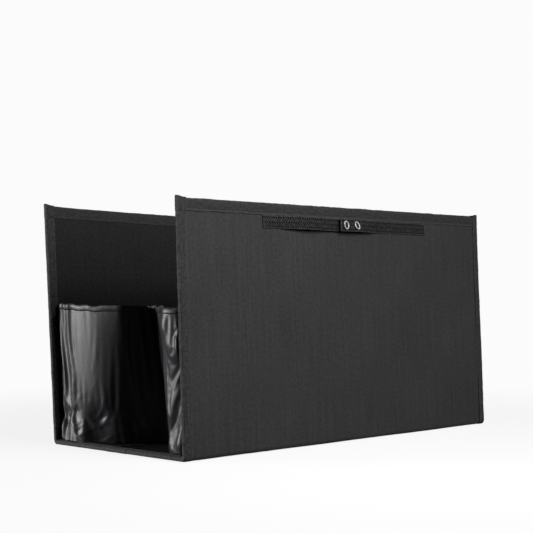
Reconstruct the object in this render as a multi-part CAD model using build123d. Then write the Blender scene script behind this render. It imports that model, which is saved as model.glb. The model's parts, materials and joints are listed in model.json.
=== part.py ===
from build123d import *
import math
import os

# Folding storage bag: stiff front panel, base and rear panel in one U-shaped cloth shell, with
# bound edges, soft end gussets and a snap strap on each outer face. Millimetres, Z up, X along
# the length, the front panel on the -Y side. The origin is the middle of the base's underside.

# ---- overall sizes ----
length = 600.0                 # bag, end to end
width = 246.0                  # front cloth to rear cloth, across the base
panel_height = 306.0           # floor to rim, measured up the panel
front_lean = 2.75              # degrees, top of the front panel towards the inside
rear_lean = 4.61               # degrees, top of the rear panel towards the outside

# ---- panel layers ----
cloth_thick = 0.8              # outer cloth
board_thick = 3.4              # stiffener board
lining_thick = 0.8             # inner lining
panel_thick = cloth_thick + board_thick + lining_thick
board_margin = 2.0             # board edge to cloth edge

# ---- edge trims ----
binding_wide = 12.0            # tape over the end edges, seen from either face
binding_thick = 0.8
hem_deep = 15.0                # folded band along the rim
hem_thick = 0.8

# ---- fold lines ----
roll_radius = panel_thick / 2  # sewn cloth roll in each bottom corner, on the corner's fold line
roll_gap = 0.7                 # roll to the panel's or the base's cloth edge
corner_room = 1.2              # base end binding to the panel's inner face
crease_wide = 14.0             # strip across the middle of the base with no board in it
crease_gap = 0.3               # strip's edge to the front half of the base
fold_rise = 3.0                # middle fold line above the lining, half the folded gap

# ---- end gussets ----
gusset_thick = 0.8
gusset_top = 178.0             # gusset's top edge above the floor
gusset_floor_gap = 3.0         # gusset's lower edge above the lining
gusset_hem_deep = 10.0
gusset_hem_thick = 1.6
gusset_seam_in = 1.0           # gusset seam inwards of the binding tape
gusset_clear = 0.15            # gusset to the lining it is sewn to
gusset_crest_set = 11.0        # outer bulge, in from the end
gusset_crest_share = 0.60      # outer bulge's place across the width, from the front
gusset_fold_depth = 64.0       # inner fold, in from the end
gusset_fold_share = 0.56
gusset_front_share = 0.145     # front fold's place across the width
gusset_bend = 6.0              # radius of the folds

# ---- straps ----
strap_wide = 16.6
strap_thick = 1.6
strap_under_hem = 0.6          # strap's upper edge below the hem
strap_left = -159.0            # sewn end of the lower half
strap_right = 169.0            # sewn end of the upper half
tab_left_long = 17.0
tab_right_long = 12.0
tab_gap = 0.4                  # sewn end to the free stretch
strap_set = 0.1                # webbing to the cloth
strap_bow = 6.2                # lower half's bow off the cloth
strap_bow_x = -80.0
strap_hinge_out = 0.6          # swing line outside the webbing
lap_left = -20.0               # free end of the upper half
lap_right = 26.0               # free end of the lower half
lap_ramp = 46.0                # stretch in which the webbing rises to the lap

# ---- ring snaps ----
snap_xs = (-10.0, 13.0)
snap_ring_radius = 5.65
snap_ring_hole = 4.25
snap_ring_high = 1.2
snap_back_radius = 4.8
snap_back_hole = 1.6
snap_back_high = 1.1
snap_back_clear = 0.5          # back ring to the cloth
stud_base_radius = 4.3
stud_base_high = 0.6
stud_post_radius = 1.8
stud_post_high = 1.7
socket_radius = 4.8
socket_high = 1.8
socket_clear = 0.35            # stud post to the socket's wall
socket_gap = 0.2               # socket to the stud's base

# ---- what follows from them ----
half_length = length / 2
half_width = width / 2
crease_half = crease_wide / 2
core_start = 2 * roll_radius + roll_gap
cloth_half = half_length - 0.1
fold_line_z = panel_thick + fold_rise
strap_top = panel_height - hem_deep - strap_under_hem
strap_bottom = strap_top - strap_wide
strap_mid = (strap_top + strap_bottom) / 2
under_back = snap_back_clear + snap_back_high
under_face = under_back + strap_thick
over_back = under_face + stud_base_high + socket_gap + socket_high
over_face = over_back + strap_thick
hinge_out = strap_set + strap_thick + strap_hinge_out
tab_left_end = strap_left + tab_left_long
tab_right_start = strap_right - tab_right_long


def block(x, y, z):
    """A box between two x, two y and two z values."""
    size = (x[1] - x[0], y[1] - y[0], z[1] - z[0])
    middle = ((x[0] + x[1]) / 2, (y[0] + y[1]) / 2, (z[0] + z[1]) / 2)
    return Pos(*middle) * Box(*size)


def strap_band(points, ends):
    """Webbing whose back face follows points of (x, distance off the cloth)."""
    outer = [(x, -out - strap_thick) for x, out in points]
    inner = [(x, -out) for x, out in points]
    start, finish = ends
    inner_edge = Spline(inner, tangents=(start, finish))
    outer_edge = Spline(outer, tangents=(start, finish))
    first = Line(inner[0], outer[0])
    last = Line(inner[-1], outer[-1])
    face = make_face(Wire([inner_edge, last, outer_edge, first]))
    return Pos(0, 0, strap_bottom) * extrude(face, amount=strap_wide, dir=(0, 0, 1))


def disc(radius, hole, out_from, out_to):
    """A disc, or a ring when hole isn't 0, facing out from the cloth, at x = 0."""
    body = Cylinder(radius, out_to - out_from)
    if hole:
        body -= Cylinder(hole, out_to - out_from)
    return Pos(0, -(out_from + out_to) / 2, strap_mid) * Rot(90, 0, 0) * body


def at_snaps(piece):
    return Compound([Pos(x, 0, 0) * piece for x in snap_xs])


def panel_nodes():
    """A panel's own pieces, upright: y = 0 is its outer face, +y the inside, z = 0 the floor."""
    top = panel_height - hem_thick
    inner = panel_thick
    nodes = {}
    board_x = (-half_length + board_margin, half_length - board_margin)
    cloth_x = (-cloth_half, cloth_half)
    board_y = (cloth_thick, cloth_thick + board_thick)
    nodes["outer_cloth"] = block(cloth_x, (0, cloth_thick), (core_start, top))
    nodes["board"] = block(board_x, board_y, (core_start + board_margin, top - board_margin))
    nodes["lining"] = block(cloth_x, (board_y[1], inner), (core_start, top))
    hem_x = (-half_length + binding_wide, half_length - binding_wide)
    hem = block(hem_x, (-hem_thick, inner + hem_thick), (panel_height - hem_deep, panel_height))
    nodes["hem"] = hem - block(hem_x, (0, inner), (0, top))
    for name, side in (("binding_left", -1), ("binding_right", 1)):
        x = sorted((side * half_length, side * (half_length - binding_wide)))
        tape = block(x, (-binding_thick, inner + binding_thick), (core_start, panel_height))
        nodes[name] = tape - block(cloth_x, (0, inner), (0, top))
    return nodes


def strap_nodes():
    """Strap and snaps on the outer face of an upright panel."""
    nodes = {}
    tab_y = (-strap_set - strap_thick, -strap_set)
    tab_z = (strap_bottom, strap_top)
    nodes["strap_tab_left"] = block((strap_left, tab_left_end), tab_y, tab_z)
    nodes["strap_tab_right"] = block((tab_right_start, strap_right), tab_y, tab_z)
    under_start = tab_left_end + tab_gap
    over_start = tab_right_start - tab_gap
    level = ((1, 0), (1, 0))
    free = strap_band([(under_start, strap_set), (strap_bow_x, strap_bow), (lap_left, under_back)], level)
    flat = block((lap_left, lap_right), (-under_face, -under_back), tab_z)
    nodes["strap_under"] = free + flat
    rise = strap_band([(lap_right, over_back), (lap_right + lap_ramp, strap_set)], level)
    flat = block((lap_left, lap_right), (-over_face, -over_back), tab_z)
    run = block((lap_right + lap_ramp, over_start), tab_y, tab_z)
    nodes["strap_over"] = rise + flat + run
    ring = disc(snap_ring_radius, snap_ring_hole, over_face, over_face + snap_ring_high)
    nodes["snap_rings"] = at_snaps(fillet(ring.edges().filter_by(GeomType.CIRCLE), 0.45))
    hole = stud_post_radius + socket_clear
    nodes["snap_sockets"] = at_snaps(disc(socket_radius, hole, over_back - socket_high, over_back))
    base_out = under_face + stud_base_high
    base = disc(stud_base_radius, 0, under_face, base_out)
    nodes["snap_studs"] = at_snaps(base + disc(stud_post_radius, 0, base_out, base_out + stud_post_high))
    back = disc(snap_back_radius, snap_back_hole, snap_back_clear, under_back)
    nodes["snap_back_rings"] = at_snaps(back)
    return nodes


def front_place(piece):
    """Lean an upright panel's piece about its corner fold line and put it at the front."""
    axis = Pos(0, roll_radius, roll_radius)
    return Pos(0, -half_width, 0) * axis * Rot(-front_lean, 0, 0) * axis.inverse() * piece


def rear_place(piece):
    """The same at the rear, turned half a turn about the vertical."""
    axis = Pos(0, roll_radius, roll_radius)
    return Rot(0, 0, 180) * Pos(0, -half_width, 0) * axis * Rot(rear_lean, 0, 0) * axis.inverse() * piece


def swap_sides(name):
    """A piece's name after the half turn, with left as the -X end in both panels."""
    if name.startswith("binding_left"):
        return "binding_right"
    if name.startswith("binding_right"):
        return "binding_left"
    return name


def base_half(prefix, y_from, y_to, trim_y):
    """Cloth, board, lining and end bindings of one half of the base."""
    board_low = min(y_from, y_to)
    board_high = max(y_from, y_to)
    cloth_x = (-half_length + binding_wide, half_length - binding_wide)
    lining_x = (-cloth_half, cloth_half)
    board_x = (-half_length + board_margin, half_length - board_margin)
    tape_low = min(trim_y)
    tape_high = max(trim_y)
    board_y = (max(board_low, -half_width + core_start + board_margin),
               min(board_high, half_width - core_start - board_margin))
    if prefix == "base_rear":
        board_y = (crease_half, board_y[1])
    levels = (cloth_thick, cloth_thick + board_thick, panel_thick)
    nodes = {}
    nodes[prefix + "_cloth"] = block(cloth_x, (board_low, board_high), (0, levels[0]))
    nodes[prefix + "_board"] = block(board_x, board_y, (levels[0], levels[1]))
    for name, side in (("_binding_left", -1), ("_binding_right", 1)):
        x = sorted((side * half_length, side * (half_length - binding_wide)))
        tape = block(x, (tape_low, tape_high), (0, panel_thick + binding_thick))
        nodes[prefix + name] = tape - block(lining_x, (tape_low, tape_high), (binding_thick, panel_thick))
    lining = block(lining_x, (board_low, board_high), (levels[1], levels[2]))
    nodes[prefix + "_lining"] = lining
    return nodes


def gusset_nodes():
    """Soft walls at the two ends, folded inwards, between the leaning panels."""
    nodes = {}
    front_y = -half_width + panel_thick
    rear_y = half_width - panel_thick
    span = rear_y - front_y
    seam = binding_wide + gusset_seam_in
    lean_room = 2 * panel_height * math.tan(math.radians(max(front_lean, rear_lean)))
    ends = (front_y - lean_room, rear_y + lean_room)
    low = panel_thick + gusset_floor_gap
    front_face = front_place(block((-length, length), (-width, panel_thick + gusset_clear), (-width, length)))
    rear_face = rear_place(block((-length, length), (-width, panel_thick + gusset_clear), (-width, length)))
    plan = [
        (seam, ends[0]),
        (seam, front_y + 0.06 * span),
        (gusset_crest_set, front_y + gusset_front_share * span),
        (gusset_fold_depth, front_y + gusset_fold_share * span),
        (gusset_crest_set, front_y + gusset_crest_share * span),
        (seam, rear_y - 0.06 * span),
        (seam, ends[1]),
    ]
    for name, side in (("left", -1), ("right", 1)):
        points = [(side * (half_length - inset), y) for inset, y in plan]
        path = FilletPolyline(*points, radius=gusset_bend)
        wall = extrude(trace(path, gusset_thick), amount=gusset_top - gusset_hem_deep - low)
        band = extrude(trace(path, gusset_hem_thick), amount=gusset_hem_deep)
        wall = Pos(0, 0, low) * wall - front_face - rear_face
        band = Pos(0, 0, gusset_top - gusset_hem_deep) * band - front_face - rear_face
        nodes["gusset_" + name] = wall
        nodes["gusset_" + name + "_hem"] = band
    return nodes


def corner_rolls():
    """Sewn cloth rolls on the two bottom fold lines."""
    nodes = {}
    for name, side in (("front_corner_roll", -1), ("rear_corner_roll", 1)):
        roll = Rot(0, 90, 0) * Cylinder(roll_radius, length)
        nodes[name] = Pos(0, side * (half_width - roll_radius), roll_radius) * roll
    return nodes


def all_nodes():
    nodes = {}
    for name, piece in panel_nodes().items():
        nodes["front_" + name] = front_place(piece)
        nodes["rear_" + swap_sides(name)] = rear_place(piece)
    for name, piece in strap_nodes().items():
        nodes["front_" + name] = front_place(piece)
        nodes["rear_" + name] = rear_place(piece)
    cloth_end = half_width - core_start
    tape_end = cloth_end - corner_room
    crease_end = -crease_half - crease_gap
    nodes.update(base_half("base_front", -cloth_end, crease_end, (-tape_end, crease_end)))
    nodes.update(base_half("base_rear", -crease_half, cloth_end, (-crease_half, tape_end)))
    nodes.update(gusset_nodes())
    nodes.update(corner_rolls())
    return nodes


os.makedirs("parts", exist_ok=True)
for node_name, solid in all_nodes().items():
    solid.label = node_name
    export_step(solid, f"parts/{node_name}.step")
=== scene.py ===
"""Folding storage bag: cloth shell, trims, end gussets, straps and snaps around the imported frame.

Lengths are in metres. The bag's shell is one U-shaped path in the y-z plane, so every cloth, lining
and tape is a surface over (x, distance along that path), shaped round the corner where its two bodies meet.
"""

from __future__ import annotations

import json
import logging
import math
from collections.abc import Callable
from dataclasses import dataclass, field
from enum import Enum

import bmesh
import bpy
import numpy as np
from mathutils import Matrix, Vector

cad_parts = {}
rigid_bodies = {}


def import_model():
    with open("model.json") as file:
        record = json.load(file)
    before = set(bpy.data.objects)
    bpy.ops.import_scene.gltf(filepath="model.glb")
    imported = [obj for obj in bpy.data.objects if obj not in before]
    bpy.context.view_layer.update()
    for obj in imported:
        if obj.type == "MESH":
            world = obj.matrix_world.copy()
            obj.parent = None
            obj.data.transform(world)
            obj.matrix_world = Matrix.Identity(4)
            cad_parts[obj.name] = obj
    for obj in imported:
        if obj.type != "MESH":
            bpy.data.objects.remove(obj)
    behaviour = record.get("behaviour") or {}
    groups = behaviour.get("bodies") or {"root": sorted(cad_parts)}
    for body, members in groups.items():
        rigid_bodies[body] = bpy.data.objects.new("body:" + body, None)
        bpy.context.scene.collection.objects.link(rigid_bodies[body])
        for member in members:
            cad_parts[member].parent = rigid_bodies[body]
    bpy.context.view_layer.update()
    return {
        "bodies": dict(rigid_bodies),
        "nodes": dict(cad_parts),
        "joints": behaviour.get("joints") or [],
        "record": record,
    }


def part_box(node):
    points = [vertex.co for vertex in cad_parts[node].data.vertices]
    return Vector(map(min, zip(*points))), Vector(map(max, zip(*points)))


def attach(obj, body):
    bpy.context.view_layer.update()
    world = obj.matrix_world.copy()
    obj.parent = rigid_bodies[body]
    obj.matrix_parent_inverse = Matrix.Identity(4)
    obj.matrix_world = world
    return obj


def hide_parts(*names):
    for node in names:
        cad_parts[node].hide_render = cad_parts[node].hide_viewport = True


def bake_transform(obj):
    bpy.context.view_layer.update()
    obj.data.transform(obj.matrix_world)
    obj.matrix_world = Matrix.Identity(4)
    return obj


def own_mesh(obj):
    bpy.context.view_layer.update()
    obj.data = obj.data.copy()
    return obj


LOG = logging.getLogger("bag")
MM = 0.001
PANEL_HIGH = 306 * MM  # along the panel, from the rim to the floor
HALF_PANEL = 2.5 * MM  # half the padded panel's thickness
REAR_SAG = 5 * MM  # how far the middle of the rear rim droops
HALF_CREASE = 18 * MM  # half the strip without board across the base
GUSSET_TOP = 178 * MM
GUSSET_FOOT = 5.6 * MM
STRAP_DOWN = 23.9 * MM  # from the rim to the straps' middle
HINGE_REACH = 9 * MM  # how far cloth bends on each side of a hinge
Array = np.ndarray


class End(Enum):
    """The two ends of the bag, by the sign of x."""

    LEFT = -1
    RIGHT = 1


class Wall(Enum):
    """The two long walls, by the sign of y."""

    FRONT = -1
    REAR = 1


# ------------------------------------------------------------------ meshes


def waves(u: Array, v: Array, seed: int, low: float, high: float, terms: int = 14) -> Array:
    """Smooth unevenness of about unit size: a sum of cosines with random directions and phases.

    Args:
        u, v: coordinates in metres, of any matching shape.
        seed: picks the directions and phases.
        low, high: shortest and longest wave, in metres.
        terms: number of cosines.

    Returns:
        Values of about -1 to 1.
    """
    rng = np.random.default_rng(seed)
    size = np.exp(rng.uniform(math.log(low), math.log(high), terms))
    turn = rng.uniform(0, 2 * math.pi, terms)
    phase = rng.uniform(0, 2 * math.pi, terms)
    total = np.zeros(np.broadcast(u, v).shape)
    for wave, angle, start in zip(size, turn, phase):
        total += np.cos(2 * math.pi * (u * math.cos(angle) + v * math.sin(angle)) / wave + start)
    return total / math.sqrt(terms) * 0.9


def bump(x: Array, middle: float, reach: float) -> Array:
    """A bell of height 1 at middle that has died away at about twice reach from it."""
    return np.exp(-((x - middle) / reach) ** 2)


def smooth(x: Array, start: float, end: float) -> Array:
    """0 before start, 1 after end, and a smooth step between them."""
    t = np.clip((x - start) / (end - start), 0, 1)
    return t * t * (3 - 2 * t)


class Surface:
    """Collects grids of points into one mesh with a UV map in metres and a value per point for paling from
    rubbing and painted highlight.
    """

    def __init__(self, name: str) -> None:
        """Starts an empty surface with the piece's name.

        Args:
            name: the piece's name.
        """
        self.name = name
        self.points: list[Array] = []
        self.uvs: list[Array] = []
        self.wear_and_highlight_values: list[Array] = []
        self.faces: list[Array] = []
        self.count = 0

    def grid(self, points: Array, u: Array, v: Array, wear: Array | float = 0.0, flip: bool = False) -> None:
        """Adds a grid of quads.

        Args:
            points: (rows, columns, 3) places.
            u, v: pattern coordinates in metres, broadcast to (rows, columns).
            wear: 0 to 1, how pale the surface is painted from rubbing and as painted highlight, broadcast to
                (rows, columns).
            flip: turns the faces round.
        """
        rows, columns = points.shape[:2]
        index = np.arange(rows * columns).reshape(rows, columns) + self.count
        corners = [index[:-1, :-1], index[1:, :-1], index[1:, 1:], index[:-1, 1:]]
        if flip:
            corners.reverse()
        self.faces.append(np.stack([c.ravel() for c in corners], axis=1))
        self.points.append(points.reshape(-1, 3))
        shape = (rows, columns)
        both = np.stack([np.broadcast_to(u, shape).ravel(), np.broadcast_to(v, shape).ravel()], axis=1)
        self.uvs.append(both)
        self.wear_and_highlight_values.append(np.broadcast_to(np.asarray(wear, float), shape).ravel())
        self.count += rows * columns

    def copies(self, template: Array, faces: Array, frames: Array, places: Array) -> None:
        """Adds one small mesh many times, turned by each frame and moved to each place.

        Args:
            template: (vertices, 3) points of the small mesh.
            faces: (faces, 4) corners of it.
            frames: (copies, 3, 3) rows are each copy's own x, y and z directions.
            places: (copies, 3) where each copy goes.
        """
        moved = np.einsum("vk,nkc->nvc", template, frames) + places[:, None, :]
        copies, vertices = moved.shape[:2]
        offset = (np.arange(copies) * vertices)[:, None, None] + self.count
        self.faces.append((faces[None] + offset).reshape(-1, 4))
        self.points.append(moved.reshape(-1, 3))
        self.uvs.append(np.tile(template[:, :2], (copies, 1)))
        self.wear_and_highlight_values.append(np.zeros(copies * vertices))
        self.count += copies * vertices

    def build(self, merge: bool = True) -> bpy.types.Object:
        """Makes the object, with touching rows of points merged.

        Args:
            merge: whether touching points become one.

        Returns:
            A smooth-shaded mesh object at the origin.
        """
        points = np.concatenate(self.points)
        faces = np.concatenate(self.faces)
        mesh = bpy.data.meshes.new(self.name)
        mesh.vertices.add(len(points))
        mesh.vertices.foreach_set("co", points.astype(np.float32).ravel())
        mesh.loops.add(faces.size)
        mesh.loops.foreach_set("vertex_index", faces.ravel())
        mesh.polygons.add(len(faces))
        mesh.polygons.foreach_set("loop_start", np.arange(len(faces)) * 4)
        uv = mesh.uv_layers.new(name="UVMap")
        uv.data.foreach_set("uv", np.concatenate(self.uvs)[faces.ravel()].astype(np.float32).ravel())
        # point attribute carrying paling from rubbing and painted highlight to the finishes
        wear = mesh.attributes.new("wear", "FLOAT", "POINT")
        wear.data.foreach_set("value", np.concatenate(self.wear_and_highlight_values).astype(np.float32))
        mesh.update(calc_edges=True)
        mesh.validate()
        if merge:
            work = bmesh.new()
            work.from_mesh(mesh)
            bmesh.ops.remove_doubles(work, verts=work.verts, dist=2e-6)
            bmesh.ops.dissolve_degenerate(work, edges=work.edges, dist=1e-7)
            work.to_mesh(mesh)
            work.free()
        mesh.polygons.foreach_set("use_smooth", np.ones(len(mesh.polygons), bool))
        made = bpy.data.objects.new(self.name, mesh)
        bpy.context.scene.collection.objects.link(made)
        return made


def thicken(made: bpy.types.Object, thick: float) -> None:
    """Gives a cloth sheet its thickness, away from its faces' outer side.

    Args:
        made: the sheet.
        thick: its thickness.
    """
    wall = made.modifiers.new("thickness", "SOLIDIFY")
    wall.thickness = thick
    wall.offset = -1.0
    wall.use_even_offset = False


def normals_of(points: Array) -> Array:
    """Unit normals of a grid of points: the cross product of its row and column directions.

    Args:
        points: (rows, columns, 3) places.

    Returns:
        (rows, columns, 3) directions.
    """
    along = np.gradient(points, axis=0)
    across = np.gradient(points, axis=1)
    normal = np.cross(along, across)
    return normal / np.maximum(np.linalg.norm(normal, axis=-1, keepdims=True), 1e-12)


def unit(vectors: Array) -> Array:
    """The same directions with length 1."""
    return vectors / np.maximum(np.linalg.norm(vectors, axis=-1, keepdims=True), 1e-12)


@dataclass(frozen=True)
class Thread:
    """A sewing thread and its stitch."""

    long: float = 2.5 * MM
    pitch: float = 3.2 * MM
    radius: float = 0.24 * MM

    def template(self) -> tuple[Array, Array]:
        """One stitch: rings along x whose radius follows a half ellipse, with both ends bent down.

        Returns:
            Its points and its faces.
        """
        rings, sides = 5, 6
        along = np.linspace(-0.5, 0.5, rings)[:, None]
        turn = np.linspace(0, 2 * math.pi, sides + 1)[None, :-1]
        reach = self.radius * np.sqrt(np.clip(1 - (2.02 * along * 0.97) ** 2, 0.02, 1))
        x = along * self.long + 0 * turn
        z = reach * np.sin(turn) - 1.2 * self.radius * (2 * along) ** 4
        points = np.stack([x, reach * np.cos(turn), z], axis=-1).reshape(-1, 3)
        ring = np.arange(rings * sides).reshape(rings, sides)
        turned = np.roll(ring, -1, axis=1)
        faces = np.stack([ring[:-1], turned[:-1], turned[1:], ring[1:]], axis=-1).reshape(-1, 4)
        return points, faces

    def sew(self, surface: Surface, line: Array, up: Array, seed: int = 0) -> None:
        """Adds a row of stitches along a line of points.

        Args:
            surface: where the stitches go.
            line: (points, 3) the row's own line, on the cloth.
            up: (points, 3) directions out of the cloth.
            seed: picks each stitch's small turn.
        """
        step = np.linalg.norm(np.diff(line, axis=0), axis=1)
        run = np.concatenate([[0], np.cumsum(step)])
        count = max(1, int(run[-1] / self.pitch))
        at = (np.arange(count) + 0.5) * run[-1] / count
        place = np.stack([np.interp(at, run, line[:, k]) for k in range(3)], axis=1)
        ahead = np.stack([np.interp(at + 0.3 * self.pitch, run, line[:, k]) for k in range(3)], axis=1)
        behind = np.stack([np.interp(at - 0.3 * self.pitch, run, line[:, k]) for k in range(3)], axis=1)
        normal = unit(np.stack([np.interp(at, run, up[:, k]) for k in range(3)], axis=1))
        tangent = unit(ahead - behind)
        side = unit(np.cross(normal, tangent))
        turn = np.random.default_rng(seed).normal(0, 0.07, count)[:, None]
        first = tangent * np.cos(turn) + side * np.sin(turn)
        second = np.cross(normal, first)
        template, faces = self.template()
        surface.copies(template, faces, np.stack([first, second, normal], axis=1), place)


# ------------------------------------------------------------------ the shell's path


@dataclass
class ShellPath:
    """One wall and its half of the base, as a path from the rim down, round the corner and inwards.

    The path is the middle of the padded panel. Offsets h are outwards, so half the panel's
    thickness is the outer cloth and minus that is the lining.
    """

    wall: Wall
    half_length: float
    half_width: float
    roll: float
    lean: float
    height: float
    bend: float = 3.4 * MM
    sag: float = 0.0
    base_stop: float = HALF_CREASE
    name: str = field(init=False)

    def __post_init__(self) -> None:
        """Works out where the straight runs and the corner's arc start and end."""
        self.name = self.wall.name.lower()
        self.turn = math.pi / 2 + self.lean
        self.reach = self.bend * math.tan(self.turn / 2)
        self.panel_run = self.height - self.roll - self.reach
        self.arc_end = self.panel_run + self.bend * self.turn
        self.end = self.arc_end + self.half_width - self.roll - self.reach - self.base_stop

    def point(self, x: Array, s: Array, h: Array | float) -> Array:
        """Places in the row frame.

        The panel is a straight line that leans, the base a level one, and the corner an arc that
        touches both; each point is moved by h along the path's outward normal. Nothing goes under
        the floor, and outer layers stay below inner ones there.

        Args:
            x: along the bag.
            s: distance down from the rim along the path.
            h: offset outwards.

        Returns:
            (..., 3) points.
        """
        x, s, h = np.broadcast_arrays(x, s, h)
        lean_sin, lean_cos = math.sin(self.lean), math.cos(self.lean)
        up = self.height - self.roll - s
        turned = np.clip((s - self.panel_run) / self.bend, 0, self.turn)
        out_angle = math.pi - self.lean + turned
        middle_in = self.roll + self.reach * lean_sin + self.bend * lean_cos
        middle_up = self.roll + self.reach * lean_cos - self.bend * lean_sin
        arc_in = middle_in + self.bend * np.cos(out_angle)
        arc_up = middle_up + self.bend * np.sin(out_angle)
        on_panel = s < self.panel_run
        on_base = s > self.arc_end
        inward = np.where(on_panel, self.roll + up * lean_sin, arc_in)
        inward = np.where(on_base, self.roll + self.reach + (s - self.arc_end), inward)
        high = np.where(on_panel, self.roll + up * lean_cos, arc_up)
        high = np.where(on_base, self.roll, high)
        inward = inward + h * np.cos(out_angle)
        high = high + h * np.sin(out_angle)
        share = np.clip(up / self.height, 0, 1)
        high = high - self.sag * share ** 2 * np.clip(1 - (x / self.half_length) ** 2, 0, 1)
        y = self.wall.value * (self.half_width - inward)
        lowest = 0.05 * MM + 0.2 * np.maximum(self.roll + 1 * MM - h, 0)
        return np.stack([x, y, np.maximum(high, lowest)], axis=-1)

    def outward(self, s: Array) -> Array:
        """Outward directions of the path at s, (..., 3).

        Args:
            s: distance down from the rim along the path.

        Returns:
            (..., 3) directions.
        """
        turned = np.clip((s - self.panel_run) / self.bend, 0, self.turn)
        angle = math.pi - self.lean + turned
        return np.stack([0 * s, -self.wall.value * np.cos(angle), np.sin(angle)], axis=-1)

    def rows(self, start: float, stop: float, step: float) -> Array:
        """Distances from start to stop with the corner's arc closely spaced.

        Args:
            start, stop: where the rows begin and end.
            step: spacing on the straight runs.

        Returns:
            Rising distances along the path.
        """
        low = self.panel_run - 2 * MM
        high = self.arc_end + 2 * MM
        parts = [np.arange(start, low, step), np.linspace(low, high, 15), np.arange(high + step, stop, step)]
        rows = np.concatenate(parts + [[stop]])
        return np.unique(np.clip(rows, start, stop))

    def hang(self, made: bpy.types.Object) -> None:
        """Bakes a piece's transform into its mesh; its shape round the bottom corner comes from the path.

        Args:
            made: the piece.
        """
        start = self.point(0.0, self.arc_end + 0.3 * HINGE_REACH, 0.0)
        end = self.point(0.0, self.panel_run - 0.3 * HINGE_REACH, 0.0)
        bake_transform(made)


# ------------------------------------------------------------------ tapes, hems and cloth panels


@dataclass(frozen=True)
class TapeFold:
    """A tape folded in a U over an edge: two legs, a rounded fold and a sewn groove in each leg."""

    leg: float
    core: float
    thick: float = 0.8 * MM
    groove_in: float = 2.4 * MM
    groove_deep: float = 0.42 * MM
    # share of painted highlight along the outer leg's free edge
    edge_highlight: float = 0.2
    puff: float = 0.22 * MM
    crease_at: float = 0.0
    crease_high: float = 0.0

    def profile(self) -> tuple[Array, Array, Array]:
        """The U from the outer leg's free edge round the fold to the inner leg's free edge.

        The free edge is a half circle as thick as the tape, the leg is level but for a soft swell and
        a bell-shaped groove at the stitches, and the fold is a superellipse round the covered edge.

        Returns:
            Distance in from the edge, offset from the middle, and paling from rubbing at the fold with
            painted highlight along each free edge, one value per column.
        """
        lip = np.linspace(-math.pi / 2, math.pi / 2, 6)
        lip_in = self.leg + 0.5 * self.thick * np.cos(lip)
        lip_out = self.core + 0.5 * self.thick * (1 + np.sin(lip))
        reach = self.core + self.thick
        run = np.linspace(self.leg, reach * 1.25, 26)[1:]
        rise = reach - self.groove_deep * bump(run, self.leg - self.groove_in, 0.55 * MM)
        rise += self.puff * bump(run, 0.45 * self.leg, 0.3 * self.leg)
        if self.crease_high:
            rise += self.crease_high * bump(run, self.crease_at, 0.35 * MM)
        round_angle = np.linspace(math.pi / 2, 0, 12)[1:]
        power = 0.8
        fold_in = reach * 1.25 * (1 - np.cos(round_angle) ** power)
        fold_out = reach * np.sin(round_angle) ** power
        leg_in = np.concatenate([lip_in, run, fold_in])
        leg_out = np.concatenate([lip_out, rise, fold_out])
        inset = np.concatenate([leg_in, leg_in[-2::-1]])
        offset = np.concatenate([leg_out, -leg_out[-2::-1]])
        # the fold is paler from rubbing; each leg's free edge gets a painted highlight, weaker on the hidden
        # inner leg
        fold_rub, free_edge_highlight = bump(leg_in, 0, 1.3 * MM), bump(leg_in, self.leg - 0.4 * MM, 0.9 * MM)
        rub_and_highlight = fold_rub + self.edge_highlight * free_edge_highlight
        hidden_rub_and_highlight = fold_rub + 0.1 * free_edge_highlight
        return inset, offset, np.concatenate([rub_and_highlight, hidden_rub_and_highlight[-2::-1]])

    def groove(self) -> tuple[float, float]:
        """Inset and offset of the stitch line on the outer leg."""
        return self.leg - self.groove_in, self.core + self.thick - 0.75 * self.groove_deep


def run_length(inset: Array, offset: Array) -> Array:
    """Distance along a profile, from its first point."""
    return np.concatenate([[0], np.cumsum(np.hypot(np.diff(inset), np.diff(offset)))])


def pucker(along: Array, inset: Array, fold: TapeFold, pitch: float, seed: int) -> Array:
    """How the cloth swells between stitches: a cosine at the stitch pitch, strongest at the groove.

    Args:
        along: distance along the tape.
        inset: distance in from the covered edge.
        fold: the tape's fold.
        pitch: stitch pitch.
        seed: picks the unevenness.

    Returns:
        How far the cloth stands out.
    """
    near = bump(inset, fold.leg - fold.groove_in, 1.1 * MM)
    drift = waves(along, 0 * along, seed, 9 * MM, 40 * MM, 8)
    return near * (0.07 * MM * np.cos(2 * math.pi * along / pitch) + 0.06 * MM * drift)


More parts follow.
